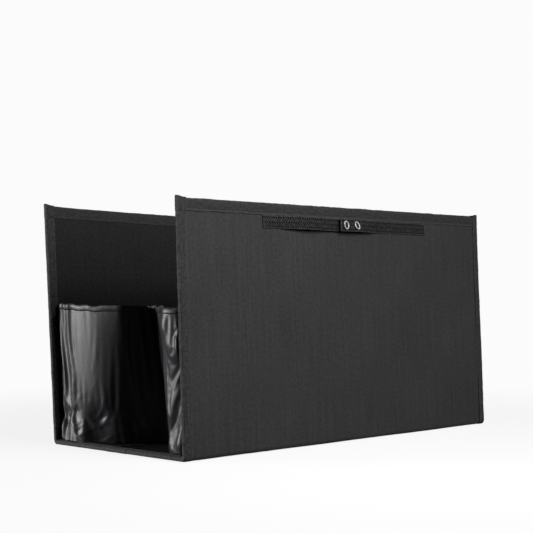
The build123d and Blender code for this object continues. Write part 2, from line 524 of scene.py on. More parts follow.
@dataclass
class PanelCloth:
    """The outer cloth or the lining of one wall and its half of the base, in one sheet."""

    path: ShellPath
    inner: bool
    thick: float = 0.7 * MM
    column_step: float = 2.6 * MM
    row_step: float = 2.9 * MM
    edge_in: float = 1.2 * MM
    rim_in: float = 4.0 * MM

    def height(self, x: Array, s: Array) -> Array:
        """Unevenness of the cloth on the board: broad soft hollows, finer ripples beside the seams,
        a pulled-in line under the hem and beside the tapes, and a pad-like swell inside them.

        Args:
            x: along the bag.
            s: distance down from the rim along the path.

        Returns:
            How far the cloth stands off its even height.
        """
        seed = 11 + 7 * self.path.wall.value + 3 * int(self.inner)
        end_in = self.path.half_length - np.abs(x)
        broad = 0.42 * MM * waves(x, s, seed, 70 * MM, 260 * MM)
        fine = 0.16 * MM * waves(x, s, seed + 1, 14 * MM, 60 * MM)
        beside = bump(end_in, 14 * MM, 9 * MM) + bump(s, 19 * MM, 9 * MM)
        ripple = 0.22 * MM * waves(x, s, seed + 2, 8 * MM, 26 * MM, 20) * beside
        pulled = bump(end_in, 12 * MM, 2.6 * MM) + bump(s, 15 * MM, 2.6 * MM)
        body = smooth(s, self.path.arc_end + 20 * MM, self.path.panel_run - 25 * MM)
        swell = 0.35 * MM * smooth(end_in, 12 * MM, 30 * MM) * smooth(s, 15 * MM, 34 * MM)
        lift = (broad + fine + swell + ripple - 0.3 * MM * pulled) * body
        lowest = 0.55 * MM
        return np.where(lift < 0, lowest * np.tanh(lift / lowest), lift)

    def build(self) -> bpy.types.Object:
        """Makes the sheet round the corner and bakes its transform.

        Returns:
            The sheet.
        """
        kind = "lining_cloth" if self.inner else "outer_cloth"
        path = self.path
        half = path.half_length - self.edge_in
        x = np.linspace(-half, half, int(2 * half / self.column_step))[None, :]
        s = path.rows(self.rim_in, path.end, self.row_step)[:, None]
        offset = self.height(x, s)
        side = -1 if self.inner else 1
        points = path.point(x, s, side * (path.roll + offset))
        surface = Surface(f"{path.name}_{kind}_sheet")
        surface.grid(points, x, s, flip=(path.wall is Wall.FRONT) == self.inner)
        made = surface.build()
        thicken(made, self.thick)
        path.hang(made)
        if self.inner:
            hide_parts(f"{path.name}_lining", f"base_{path.name}_lining")
        else:
            names = (f"{path.name}_outer_cloth", f"base_{path.name}_cloth", f"{path.name}_corner_roll")
            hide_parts(*names)
        return made


@dataclass
class StiffBoard:
    """The board inside a wall or inside its half of the base, a flat box that follows the path."""

    path: ShellPath
    thick: float = 3.3 * MM
    end_in: float = 1.6 * MM
    rim_in: float = 1.9 * MM
    corner_in: float = 1.6 * MM

    def build(self, base: bool) -> bpy.types.Object:
        """Makes one board.

        The section goes once round the board: its outer face, an edge, its inner face, an edge.

        Args:
            base: True for the base half's board.

        Returns:
            The board.
        """
        path = self.path
        start = path.arc_end + self.corner_in if base else self.rim_in
        stop = path.end if base else path.panel_run - self.corner_in
        run = np.linspace(start, stop, 40)
        half = self.thick / 2
        s = np.concatenate([run[:1], run, run[::-1], run[:1]])[None, :]
        out = np.concatenate([[0], half + 0 * run, -half + 0 * run, [0]])[None, :]
        length = path.half_length - self.end_in
        x = np.concatenate([[-length], np.linspace(-length, length, 60), [length]])[:, None]
        closing = np.concatenate([[0], np.ones(60), [0]])[:, None]
        middle = (start + stop) / 2
        points = path.point(x, middle + (s - middle) * (0.999 + 0.001 * closing), out * closing)
        surface = Surface(f"{path.name}_base_board" if base else f"{path.name}_wall_board")
        surface.grid(points, x, s, flip=path.wall is Wall.FRONT)
        made = surface.build()
        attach(made, f"{path.name}_base" if base else f"{path.name}_panel")
        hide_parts(f"base_{path.name}_board" if base else f"{path.name}_board")
        return made


@dataclass
class RimHem:
    """The hem band folded over the rim of one wall."""

    path: ShellPath
    # the hem's outer leg gets a strong painted highlight along its free lower edge
    fold: TapeFold = field(default_factory=lambda: TapeFold(
        leg=15 * MM, core=HALF_PANEL, crease_at=14.0 * MM, crease_high=0.30 * MM, puff=0.55 * MM,
        edge_highlight=0.9))
    tape_wide: float = 12 * MM
    step: float = 0.9 * MM

    def wander(self, x: Array) -> Array:
        """How far the band's free edge strays along the rim."""
        return 0.32 * MM * waves(x, 0 * x, 31 + self.path.wall.value, 25 * MM, 160 * MM)

    def line(self, x: Array, outer: bool) -> tuple[Array, Array]:
        """The stitch line's points and outward directions.

        Args:
            x: places along the rim.
            outer: True for the outer leg's line.

        Returns:
            (points, 3) places and (points, 3) directions.
        """
        inset, offset = self.fold.groove()
        side = 1 if outer else -1
        s = inset + self.wander(x) * inset / self.fold.leg
        return self.path.point(x, s, side * offset), side * self.path.outward(s)

    def build(self, thread: Thread) -> list[bpy.types.Object]:
        """Makes the band and its two rows of stitches.

        Args:
            thread: sews it.

        Returns:
            The band and its stitches.
        """
        path, fold = self.path, self.fold
        half = path.half_length - self.tape_wide + 2 * MM
        x = np.linspace(-half, half, int(2 * half / self.step))[:, None]
        inset, offset, rub_and_highlight = fold.profile()
        length = run_length(inset, offset)
        swell = pucker(x, inset[None, :], fold, thread.pitch, 5 + path.wall.value)
        ease = 0.20 * MM * waves(x, inset[None, :] * 3, 17, 12 * MM, 90 * MM, 18) * (inset[None, :] > 4 * MM)
        s = inset[None, :] * (1 + self.wander(x) / fold.leg)
        rim = 0.22 * MM * waves(x, 0 * x, 23 + path.wall.value, 8 * MM, 120 * MM, 20)
        h = offset[None, :] + np.sign(offset)[None, :] * (swell + ease)
        surface = Surface(f"{path.name}_rim_hem")
        points = path.point(x, s - rim * bump(inset, 0, 4 * MM)[None, :], h)
        surface.grid(points, x, length[None, :], rub_and_highlight[None, :], flip=path.wall is Wall.REAR)
        made = surface.build()
        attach(made, f"{path.name}_panel")
        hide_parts(f"{path.name}_hem")
        rows = Surface(f"{path.name}_rim_stitches")
        for outer in (True, False):
            thread.sew(rows, *self.line(x[:, 0], outer), seed=int(outer))
        sewn = rows.build(merge=False)
        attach(sewn, f"{path.name}_panel")
        return [made, sewn]


@dataclass
class EndBinding:
    """Binding tape over one end of a wall and its half of the base, round the bottom corner."""

    path: ShellPath
    end: End
    fold: TapeFold = field(default_factory=lambda: TapeFold(
        leg=12 * MM, core=HALF_PANEL, puff=0.16 * MM))
    step: float = 1.0 * MM
    hem_thick: float = 0.8 * MM
    hem_deep: float = 15 * MM
    tip_high: float = 1.7 * MM

    def rows(self) -> tuple[Array, Array, Array]:
        """Distances down the tape, the closing of its folded top, and the lift over the hem.

        Returns:
            s, the share of the full thickness, and the extra offset, one value per row.
        """
        tip = np.array([0.0, 0.25, 0.5, 0.75, 1.0])
        closing = np.sin(tip * math.pi / 2) ** 0.8
        down = self.path.rows(0.5 * MM, self.path.end - 0.4 * MM, self.step)
        s = np.concatenate([-0.9 * MM * (1 - tip), down])
        share = np.concatenate([closing, np.ones(len(s) - len(tip))])
        over = self.hem_thick * (1 - smooth(s, self.hem_deep - 0.5 * MM, self.hem_deep + 1.8 * MM))
        return s, share, over

    def build(self, thread: Thread) -> list[bpy.types.Object]:
        """Makes the tape and its two rows of stitches.

        Args:
            thread: sews it.

        Returns:
            The tape and its stitches.
        """
        path, fold = self.path, self.fold
        seed = 40 + path.wall.value + 3 * self.end.value
        inset, offset, rub_and_highlight = fold.profile()
        length = run_length(inset, offset)
        s, share, over = self.rows()
        s, share, over = s[:, None], share[:, None], over[:, None]
        wander = 0.35 * MM * waves(s, 0 * s, seed, 18 * MM, 120 * MM)
        swell = pucker(s, inset[None, :], fold, thread.pitch, seed + 1)
        soft = 0.18 * MM * waves(s, inset[None, :] * 2, seed + 2, 7 * MM, 50 * MM, 18)
        h = offset[None, :] * (1 + over / (fold.core + fold.thick))
        h = (h + np.sign(offset)[None, :] * (swell + soft)) * share
        x = self.end.value * (path.half_length - inset[None, :] * (1 + wander / fold.leg))
        edge = 0.2 * MM * waves(s, 0 * s, seed + 3, 6 * MM, 80 * MM) * bump(inset, 0, 3 * MM)[None, :]
        peak = self.tip_high * bump(inset, 0, 5 * MM)[None, :] * bump(s, -1 * MM, 6 * MM)
        points = path.point(x + self.end.value * (edge - 0.2 * MM), s - peak, h)
        surface = Surface(f"{path.name}_{self.end.name.lower()}_edge_tape")
        turned = (self.end is End.LEFT) == (path.wall is Wall.FRONT)
        surface.grid(points, length[None, :], s, rub_and_highlight[None, :], flip=turned)
        made = surface.build()
        path.hang(made)
        side = self.end.name.lower()
        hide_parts(f"{path.name}_binding_{side}", f"base_{path.name}_binding_{side}")
        rows = Surface(f"{path.name}_{side}_edge_stitches")
        groove_in, groove_out = fold.groove()
        run = np.arange(1.5 * MM, path.end, 2 * MM)
        lift = self.hem_thick * (1 - smooth(run, self.hem_deep - 0.5 * MM, self.hem_deep + 1.8 * MM))
        across = np.interp(run, s[:, 0], wander[:, 0])
        place_x = self.end.value * (path.half_length - groove_in * (1 + across / fold.leg))
        for turn in (1, -1):
            keep = np.ones(len(run), bool) if turn == 1 else np.abs(run - path.panel_run - 4 * MM) > 7 * MM
            for part in np.split(np.flatnonzero(keep), np.flatnonzero(np.diff(np.flatnonzero(keep)) > 1) + 1):
                line = path.point(place_x[part], run[part], turn * (groove_out + lift[part]))
                thread.sew(rows, line, turn * path.outward(run[part]), seed=seed + turn)
        sewn = rows.build(merge=False)
        path.hang(sewn)
        return [made, sewn]


@dataclass
class BaseCrease:
    """The soft strip across the middle of the base, where it has no board and folds."""

    half_length: float
    half_strip: float
    thick: float
    seam_at: float = 8 * MM
    dip: float = 1.3 * MM
    tape_leg: float = 12 * MM

    def hang(self, made: bpy.types.Object) -> None:
        """Bakes a piece's transform into its mesh."""
        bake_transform(made)

    def sheet(self, top: bool) -> bpy.types.Object:
        """The outer or the lining side of the strip, with a groove at each seam and a hollow between.

        Args:
            top: True for the lining side.

        Returns:
            The sheet.
        """
        half = self.half_length - 1.2 * MM
        x = np.linspace(-half, half, 260)[None, :]
        y = np.linspace(self.half_strip + 1 * MM, -self.half_strip - 1 * MM, 40)[:, None]
        seams = bump(y, self.seam_at, 0.9 * MM) + bump(y, -self.seam_at, 0.9 * MM)
        hollow = bump(y, 0, 5.5 * MM)
        ripple = 0.25 * MM * waves(x, y, 3 + int(top), 8 * MM, 50 * MM, 18) * bump(y, 0, 10 * MM)
        if top:
            z = self.thick + 0.15 * MM - 0.5 * MM * seams - self.dip * hollow + ripple
        else:
            z = 0.25 * MM + 0.3 * MM * seams + 0.5 * MM * hollow + np.abs(ripple)
        points = np.stack(np.broadcast_arrays(x, y, z), axis=-1)
        name = "base_crease_lining" if top else "base_crease_cloth"
        surface = Surface(name)
        surface.grid(points, x, y, flip=not top)
        made = surface.build()
        thicken(made, 0.5 * MM)
        self.hang(made)
        return made

    def tape(self, end: End) -> bpy.types.Object:
        """Binding over the strip's end, a little prouder than the tapes that it joins.

        Args:
            end: which end of the strip.

        Returns:
            The tape.
        """
        fold = TapeFold(leg=self.tape_leg, core=self.thick / 2, puff=0.2 * MM, thick=0.9 * MM)
        inset, offset, rub_and_highlight = fold.profile()
        y = np.linspace(self.half_strip, -self.half_strip, 44)[:, None]
        pinch = 1 - 0.16 * bump(y, 0, 6 * MM)
        z = np.maximum(self.thick / 2 + offset[None, :] * pinch, 0.00004)
        x = end.value * (self.half_length - inset[None, :] + 0.15 * MM) + 0 * y
        surface = Surface(f"base_crease_{end.name.lower()}_tape")
        points = np.stack(np.broadcast_arrays(x, y, z), axis=-1)
        surface.grid(points, run_length(inset, offset)[None, :], y, rub_and_highlight[None, :], flip=end is End.LEFT)
        made = surface.build()
        self.hang(made)
        return made

    def build(self, thread: Thread) -> list[bpy.types.Object]:
        """Makes both sides, the end tapes and four rows of stitches.

        Args:
            thread: sews them.

        Returns:
            The pieces.
        """
        made = [self.sheet(True), self.sheet(False)] + [self.tape(end) for end in End]
        rows = Surface("base_crease_stitches")
        half = self.half_length - self.tape_leg
        x = np.linspace(-half, half, 300)
        for y in (self.seam_at, -self.seam_at):
            line = np.stack([x, y + 0 * x, self.thick - 0.15 * MM + 0 * x], axis=-1)
            thread.sew(rows, line, np.tile([0.0, 0.0, 1.0], (len(x), 1)), seed=int(y > 0))
        sewn = rows.build(merge=False)
        self.hang(sewn)
        return made + [sewn]


# ------------------------------------------------------------------ end gussets


def rounded_rows(points: Array, times: int = 3) -> Array:
    """Cuts the corners of each row's polyline: every corner gives way to points a quarter along.

    Args:
        points: (rows, corners, 2).
        times: how often the cut is repeated.

    Returns:
        (rows, more corners, 2), with the first and last points kept.
    """
    for _ in range(times):
        near = 0.75 * points[:, :-1] + 0.25 * points[:, 1:]
        far = 0.25 * points[:, :-1] + 0.75 * points[:, 1:]
        middle = np.stack([near, far], axis=2).reshape(points.shape[0], -1, points.shape[2])
        points = np.concatenate([points[:, :1], middle[:, 1:-1], points[:, -1:]], axis=1)
    return points


def evenly(points: Array, share: Array) -> Array:
    """Each row's points at the given shares of the row's own length, (rows, len(share), 2).

    Args:
        points: (rows, corners, 2), each row's line.
        share: shares from 0 to 1.

    Returns:
        (rows, shares, 2) places.
    """
    step = np.linalg.norm(np.diff(points, axis=1), axis=2)
    run = np.concatenate([np.zeros((len(points), 1)), np.cumsum(step, axis=1)], axis=1)
    run /= run[:, -1:]
    rows = [np.stack([np.interp(share, r, p[:, k]) for k in range(2)], axis=1) for r, p in zip(run, points)]
    return np.stack(rows)


@dataclass
class EndGusset:
    """A slack satin wall sewn between the two panels at one end and tucked inwards.

    Plan sizes are l, inwards from the bag's end, and w, across from the front panel's outer face.
    """

    end: End
    front: ShellPath
    rear: ShellPath
    top: float = GUSSET_TOP
    low: float = GUSSET_FOOT
    cloth_wide: float = 306 * MM
    seam_in: float = 13 * MM
    strip: float = 35 * MM
    hem_deep: float = 10 * MM
    hem_thick: float = 0.75 * MM
    seed: int = 5
    rows: int = 96
    columns: int = 170
    settle_steps: int = 18
    settle_most: float = 6 * MM

    def plan(self, high: Array) -> Array:
        """The wall's plan at each height, from the rear seam to the front seam.

        The wall leaves the rear seam, bulges to a ridge, runs across to a crest that lies further
        back the lower it is, tucks in to a fold, and comes back to a strip beside the front panel.
        The fold's depth uses up whatever cloth is left, so every row has the same length.

        Args:
            high: (rows,) heights above the floor.

        Returns:
            (rows, columns, 2) points of (l, w).
        """
        width = 2 * self.front.half_width
        share = high / self.top
        front_w = 2 * self.front.roll + high * math.tan(self.front.lean)
        rear_w = width - 2 * self.rear.roll - high * math.tan(self.rear.lean)
        low = 1 - share
        crest_w = 0.605 * width + 0.105 * width * low ** 0.8
        ridge_w = rear_w - 36 * MM
        same = np.ones_like(high)
        crest_l = 16 * MM * same
        strip_w = front_w + self.strip - 5 * MM * share
        strip_l = (7 * MM - 2 * MM * np.sin(math.pi * share))
        fold_w = 0.47 * width + 0.09 * width * share ** 2

        def row_length(fold_l: Array) -> Array:
            """Each row's length: the sum of its straight runs.

            Args:
                fold_l: how far in each row's fold lies.

            Returns:
                One length per row.
            """
            back = np.hypot(self.seam_in - 5 * MM, rear_w - ridge_w) + np.hypot(6 * MM, ridge_w - crest_w)
            down = np.hypot(fold_l - crest_l, crest_w - fold_w)
            return back + down + np.hypot(fold_l - strip_l, fold_w - strip_w) + self.strip

        near, far = 5 * MM * same, 0.3 * same
        for _ in range(30):
            middle = (near + far) / 2
            short = row_length(middle) < self.cloth_wide
            near, far = np.where(short, middle, near), np.where(short, far, middle)
        fold_l = (near + far) / 2
        inset = [self.seam_in - 1.5 * MM * low, 8 * MM * same, (5 + low) * MM, 7 * MM * same, 10 * MM * same,
                 crest_l - 2.5 * MM, 0.82 * crest_l + 0.18 * fold_l,
                 0.45 * crest_l + 0.55 * fold_l, fold_l + 4 * MM,
                 0.8 * fold_l + 0.2 * strip_l, 0.2 * fold_l + 0.8 * strip_l, strip_l, 8 * MM * same,
                 self.seam_in * same]
        across = [rear_w, rear_w - 10 * MM, ridge_w, ridge_w - 12 * MM, 0.5 * (ridge_w + crest_w),
                  crest_w + 12 * MM, crest_w - 15 * MM, 0.45 * crest_w + 0.55 * fold_w, fold_w,
                  0.75 * fold_w + 0.25 * strip_w, 0.15 * fold_w + 0.85 * strip_w, strip_w,
                  0.5 * (strip_w + front_w), front_w]
        corners = np.stack([np.stack(inset, axis=1), np.stack(across, axis=1)], axis=2)
        return evenly(rounded_rows(corners), np.linspace(0, 1, self.columns))

    def facets(self, w: Array, z: Array, places: tuple, slope: float, count: int, seed: int) -> Array:
        """Sharp creases between flat facets: the sum of count rounded |distance to a random line|.

        Each distance is measured from a line near a random one of the places and levels off at reach,
        and half of reach is taken away from it.

        Args:
            w, z: places on the wall.
            places: (w, z, spread) of where the creases cross.
            slope: how steep each facet is.
            count: number of creases.
            seed: picks them.

        Returns:
            How far the facets lift the cloth.
        """
        rng = np.random.default_rng(seed)
        reach = 22 * MM
        total = np.zeros_like(z)
        for _ in range(count):
            mid_w, mid_z, spread = places[rng.integers(len(places))]
            turn = rng.uniform(0, math.pi)
            away = (w - mid_w - rng.normal(0, spread)) * math.cos(turn)
            away = away + (z - mid_z - rng.normal(0, spread)) * math.sin(turn)
            far = reach * np.tanh(np.sqrt(away ** 2 + (0.7 * MM) ** 2) / reach)
            total += rng.choice((-1, 1)) * slope * rng.uniform(0.5, 1.2) * (far - reach / 2)
        return total

    def creases(self, l: Array, w: Array, z: Array, p: Array) -> Array:
        """How far the creases lift the cloth.

        A crumpled bulge of flat facets fills the bottom rear corner with a few folds fanning out of
        it, zigzag facets cross the front strip, soft upright folds fill the tuck, and small gathers
        hang from the hem.

        Args:
            l, w, z: places on the wall.
            p: share of the way from the rear seam to the front seam.

        Returns:
            The lift along the normal.
        """
        width = 2 * self.front.half_width
        corner = (width - 33 * MM, 24 * MM)
        from_w, from_z = width - 16 * MM - w, z - 6 * MM
        far = np.hypot(from_w, from_z)
        angle = np.arctan2(from_z, from_w + 4 * MM)
        fan = np.zeros_like(z)
        for at, thin, high in ((1.25, 0.06, 0.7), (1.0, 0.05, 0.9), (0.62, 0.05, 1.6), (0.47, 0.04, 1.4),
                               (0.33, 0.04, 1.8), (0.2, 0.03, 1.2)):
            bend = 0.10 * waves(w, z, self.seed + int(100 * at), 40 * MM, 120 * MM)
            fan += high * MM * np.exp(-np.abs((angle + bend - at) / thin) ** 1.3)
        fan *= smooth(far, 8 * MM, 34 * MM) * smooth(far, 110 * MM, 50 * MM)
        bulge = 4 * MM * smooth(z, 50 * MM, 24 * MM) * smooth(w, width - 75 * MM, width - 50 * MM)
        knots = ((corner[0], corner[1], 13 * MM), (corner[0] - 14 * MM, corner[1] + 12 * MM, 10 * MM))
        crumple = self.facets(w, z, knots, 0.18, 11, self.seed + 3)
        crumple *= smooth(z, 62 * MM, 36 * MM) * smooth(w, 150 * MM, 180 * MM)
        low_folds = self.facets(w, z, ((0.5 * width, 20 * MM, 40 * MM),), 0.07, 12, self.seed + 4)
        low_folds *= smooth(z, 60 * MM, 20 * MM) * smooth(w, 190 * MM, 165 * MM)
        on_strip = smooth(p, 0.865, 0.90) * smooth(p, 1.0, 0.97)
        zig = [(20 * MM + 9 * MM * (-1) ** k, (46 + 17 * k) * MM, 5 * MM) for k in range(7)]
        zigzag = self.facets(w, z, tuple(zig), 0.12, 24, self.seed + 8)
        foot = self.facets(w, z, ((22 * MM, 16 * MM, 6 * MM),), 0.16, 7, self.seed + 2)
        peak = 3.4 * MM * smooth(z, 46 * MM, 10 * MM) * np.exp(-np.abs(w - 22 * MM) / (7 * MM))
        strip = on_strip * (zigzag + (foot + peak) * smooth(z, 52 * MM, 34 * MM))
        tuck = smooth(p, 0.36, 0.42) * smooth(p, 0.84, 0.78)
        cloth = p * self.cloth_wide
        upright = 2.2 * MM * waves(cloth, z * 0.10, self.seed + 5, 16 * MM, 40 * MM, 16)
        gathers = 0.6 * MM * waves(cloth, 0 * z, self.seed + 6, 6 * MM, 16 * MM, 16)
        gathers *= bump(z, self.top - self.hem_deep, 15 * MM) * (0.10 + tuck)
        drift = 0.010 * waves(z, 0 * z, self.seed + 10, 60 * MM, 200 * MM)
        ridges = 1.5 * MM * bump(p + drift, 0.045, 0.009) + 3.8 * MM * bump(p + drift, 0.110, 0.016)
        ridges -= 1.6 * MM * bump(p + drift, 0.068, 0.010)
        flat = 0.45 * MM * np.sqrt((20 * (p - 0.26 + 0.5 * drift)) ** 2 + 0.05) * bump(p, 0.26, 0.06)
        soft = 0.8 * MM * waves(cloth, z * 0.5, self.seed + 7, 60 * MM, 160 * MM)
        fine = 0.10 * MM * waves(cloth, z, self.seed + 12, 9 * MM, 26 * MM, 20)
        return (fan + bulge + crumple + low_folds + strip + tuck * upright + gathers + ridges - flat
                + soft + fine)

    def shape(self) -> tuple[Array, Array, Array]:
        """The wall's grid of points before it settles.

        Returns:
            (rows, columns, 3) points, and the pattern's u and v.
        """
        p = np.linspace(0, 1, self.columns)[None, :]
        edge = np.minimum(p, 1 - p)
        lift = (3 * MM * bump(p, 0.66, 0.14)
                + 2 * MM * np.abs(waves(p * 0.3, 0 * p, self.seed, 12 * MM, 60 * MM)) * smooth(edge, 0, 0.05))
        t = np.linspace(0, 1, self.rows)[:, None]
        wavy = 0.9 * MM * waves(p * 0.3, 0 * p, self.seed + 9, 20 * MM, 90 * MM)
        top = self.top + wavy * smooth(edge, 0, 0.04)
        z = self.low + lift + t * (top - self.low - lift)
        flat = self.plan(self.low + t[:, 0] * (self.top - self.low))
        l, w = flat[..., 0], flat[..., 1]
        x = self.end.value * (self.front.half_length - l)
        points = np.stack([x, w - self.front.half_width, z], axis=-1)
        normal = normals_of(points)
        facing = np.sign(-normal[self.rows // 2, self.columns // 4, 0])
        normal *= np.where(self.end is End.LEFT, 1, -1) * facing
        held = smooth(edge, 0.0, 0.035)
        points = points + normal * (self.creases(l, w, z, p + 0 * z) * held)[..., None]
        spare = self.front.half_length - 1 * MM - np.abs(points[..., 0])
        inside = 0.5 * (spare + np.sqrt(spare ** 2 + (1.5 * MM) ** 2))
        points[..., 0] = self.end.value * (self.front.half_length - 1 * MM - inside)
        return points, p * self.cloth_wide + 0 * z, z

    def weigh(self, made: bpy.types.Object, name: str, weight: Array) -> None:
        """Gives an object a vertex group, in steps of a hundredth.

        Args:
            made: the object.
            name: the group's name.
            weight: one value from 0 to 1 per vertex, in any shape.
        """
        group = made.vertex_groups.new(name=name)
        levels = np.round(weight.ravel(), 2)
        for level in np.unique(levels):
            group.add(np.flatnonzero(levels == level).tolist(), float(level), "REPLACE")

    def settle(self, points: Array) -> Array:
        """Lets the cloth slacken and buckle a little round its folded shape, by cloth simulation.

        The cloth grows by a few percent where it is crumpled, between the seams that hold it, and
        its own stiffness keeps the large folds. Points may move by a few millimetres.

        Args:
            points: (rows, columns, 3) before.

        Returns:
            The settled points.
        """
        surface = Surface("gusset_trial")
        surface.grid(points, points[..., 0], points[..., 2])
        trial = surface.build(merge=False)
        p = np.linspace(0, 1, self.columns)[None, :] + np.zeros((self.rows, 1))
        t = np.linspace(0, 1, self.rows)[:, None] + np.zeros((1, self.columns))
        edge = np.minimum(p, 1 - p)
        hold = np.clip(0.10 + 0.9 * (1 - smooth(edge, 0.0, 0.03)) + 0.35 * smooth(t, 0.90, 0.99), 0, 1)
        spare = smooth(t, 0.34, 0.08) * smooth(edge, 0.0, 0.08)
        spare = np.clip(spare + 0.25 * smooth(p, 0.87, 0.90) + 0.12 * bump(p, 0.6, 0.2) * t, 0, 1)
        self.weigh(trial, "hold", hold)
        self.weigh(trial, "grow", spare)
        cloth = trial.modifiers.new("cloth", "CLOTH")
        chosen = {"quality": 6, "mass": 0.12, "tension_stiffness": 12, "compression_stiffness": 12,
                  "shear_stiffness": 6, "bending_stiffness": 2.5, "vertex_group_shrink": "grow",
                  "shrink_min": 0.0, "shrink_max": -0.05, "vertex_group_mass": "hold",
                  "pin_stiffness": 0.6}
        for label, value in chosen.items():
            setattr(cloth.settings, label, value)
        cloth.settings.effector_weights.gravity = 0.4
        cloth.collision_settings.use_collision = False
        scene = bpy.context.scene
        for frame in range(1, self.settle_steps + 1):
            scene.frame_set(frame)
        solved = trial.evaluated_get(bpy.context.evaluated_depsgraph_get())
        after = np.empty(len(solved.data.vertices) * 3, np.float32)
        solved.data.vertices.foreach_get("co", after)
        scene.frame_set(1)
        mesh = trial.data
        bpy.data.objects.remove(trial)
        bpy.data.meshes.remove(mesh)
        move = after.reshape(points.shape) - points
        size = np.linalg.norm(move, axis=-1, keepdims=True)
        eased = self.settle_most * np.tanh(size / self.settle_most) / np.maximum(size, 1e-9)
        held = smooth(edge, 0.0, 0.02)[..., None]
        return points + move * eased * held

    def band(self, points: Array, u: Array, thread: Thread) -> tuple[Surface, Surface]:
        """The hem: the wall's top rows doubled over, as a U as thick as the fold.

        Args:
            points: the settled wall.
            u: pattern coordinate across.
            thread: its thread.

        Returns:
            The band and its stitches.
        """
        normal = normals_of(points)
        high = points[..., 2]
        deep = 1 + int(np.argmax(high[:, 0] > self.top - self.hem_deep))
        depth = self.rows - deep
        share = np.linspace(0, 1, depth)
        reach = self.hem_thick * (0.5 + 0.5 * np.sin(np.linspace(0, math.pi, depth)) ** 0.5)
        reach[-1] = 0.35 * self.hem_thick
        reach -= 0.3 * MM * bump(share, 0.2, 0.08)
        outer = points[deep:] + normal[deep:] * reach[:, None, None]
        inner = points[deep:] - normal[deep:] * reach[:, None, None]
        ridge = points[-1:] + np.array([0, 0, 0.35 * MM])
        loop = np.concatenate([outer, ridge, inner[::-1], outer[:1]])
        surface = Surface(f"gusset_{self.end.name.lower()}_top_hem")
        v = np.linspace(0, 2 * self.hem_deep, len(loop))[:, None]
        wear = bump(np.linspace(0, 1, len(loop)), 0.5, 0.08)[:, None]
        surface.grid(loop, u[:1], v, wear)
        rows = Surface(f"gusset_{self.end.name.lower()}_stitches")
        at = int(0.22 * depth)
        for side, cloth in ((1, outer), (-1, inner)):
            thread.sew(rows, cloth[at, 4:-4], side * normal[deep + at, 4:-4], seed=self.seed + side)
        seam = 3
        for column in (seam, self.columns - 1 - seam):
            for side in (1, -1):
                line = points[4:-2, column] + side * 0.25 * MM * normal[4:-2, column]
                thread.sew(rows, line, side * normal[4:-2, column], seed=self.seed + column)
        return surface, rows

    def build(self, thread: Thread) -> list[bpy.types.Object]:
        """Makes the wall, its hem and its stitches, attached to the front panel.

        Args:
            thread: sews them.

        Returns:
            The wall, the hem and the stitches.
        """
        points, u, v = self.shape()
        points = self.settle(points)
        side = self.end.name.lower()
        wall = Surface(f"gusset_{side}_wall")
        wall.grid(points, u, v, flip=self.end is End.LEFT)
        made = wall.build()
        thicken(made, 0.3 * MM)
        band, rows = self.band(points, u, thread)
        hem, sewn = band.build(), rows.build(merge=False)
        across = self.front.outward(np.array(0.0))
        anchor = self.front.point(0.0, 0.1, -self.front.roll)
        for piece in (made, hem, sewn):
            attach(piece, "front_panel")
            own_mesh(piece)
        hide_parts(f"gusset_{side}")
        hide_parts(f"gusset_{side}_hem")
        return [made, hem, sewn]


# ------------------------------------------------------------------ straps and snaps


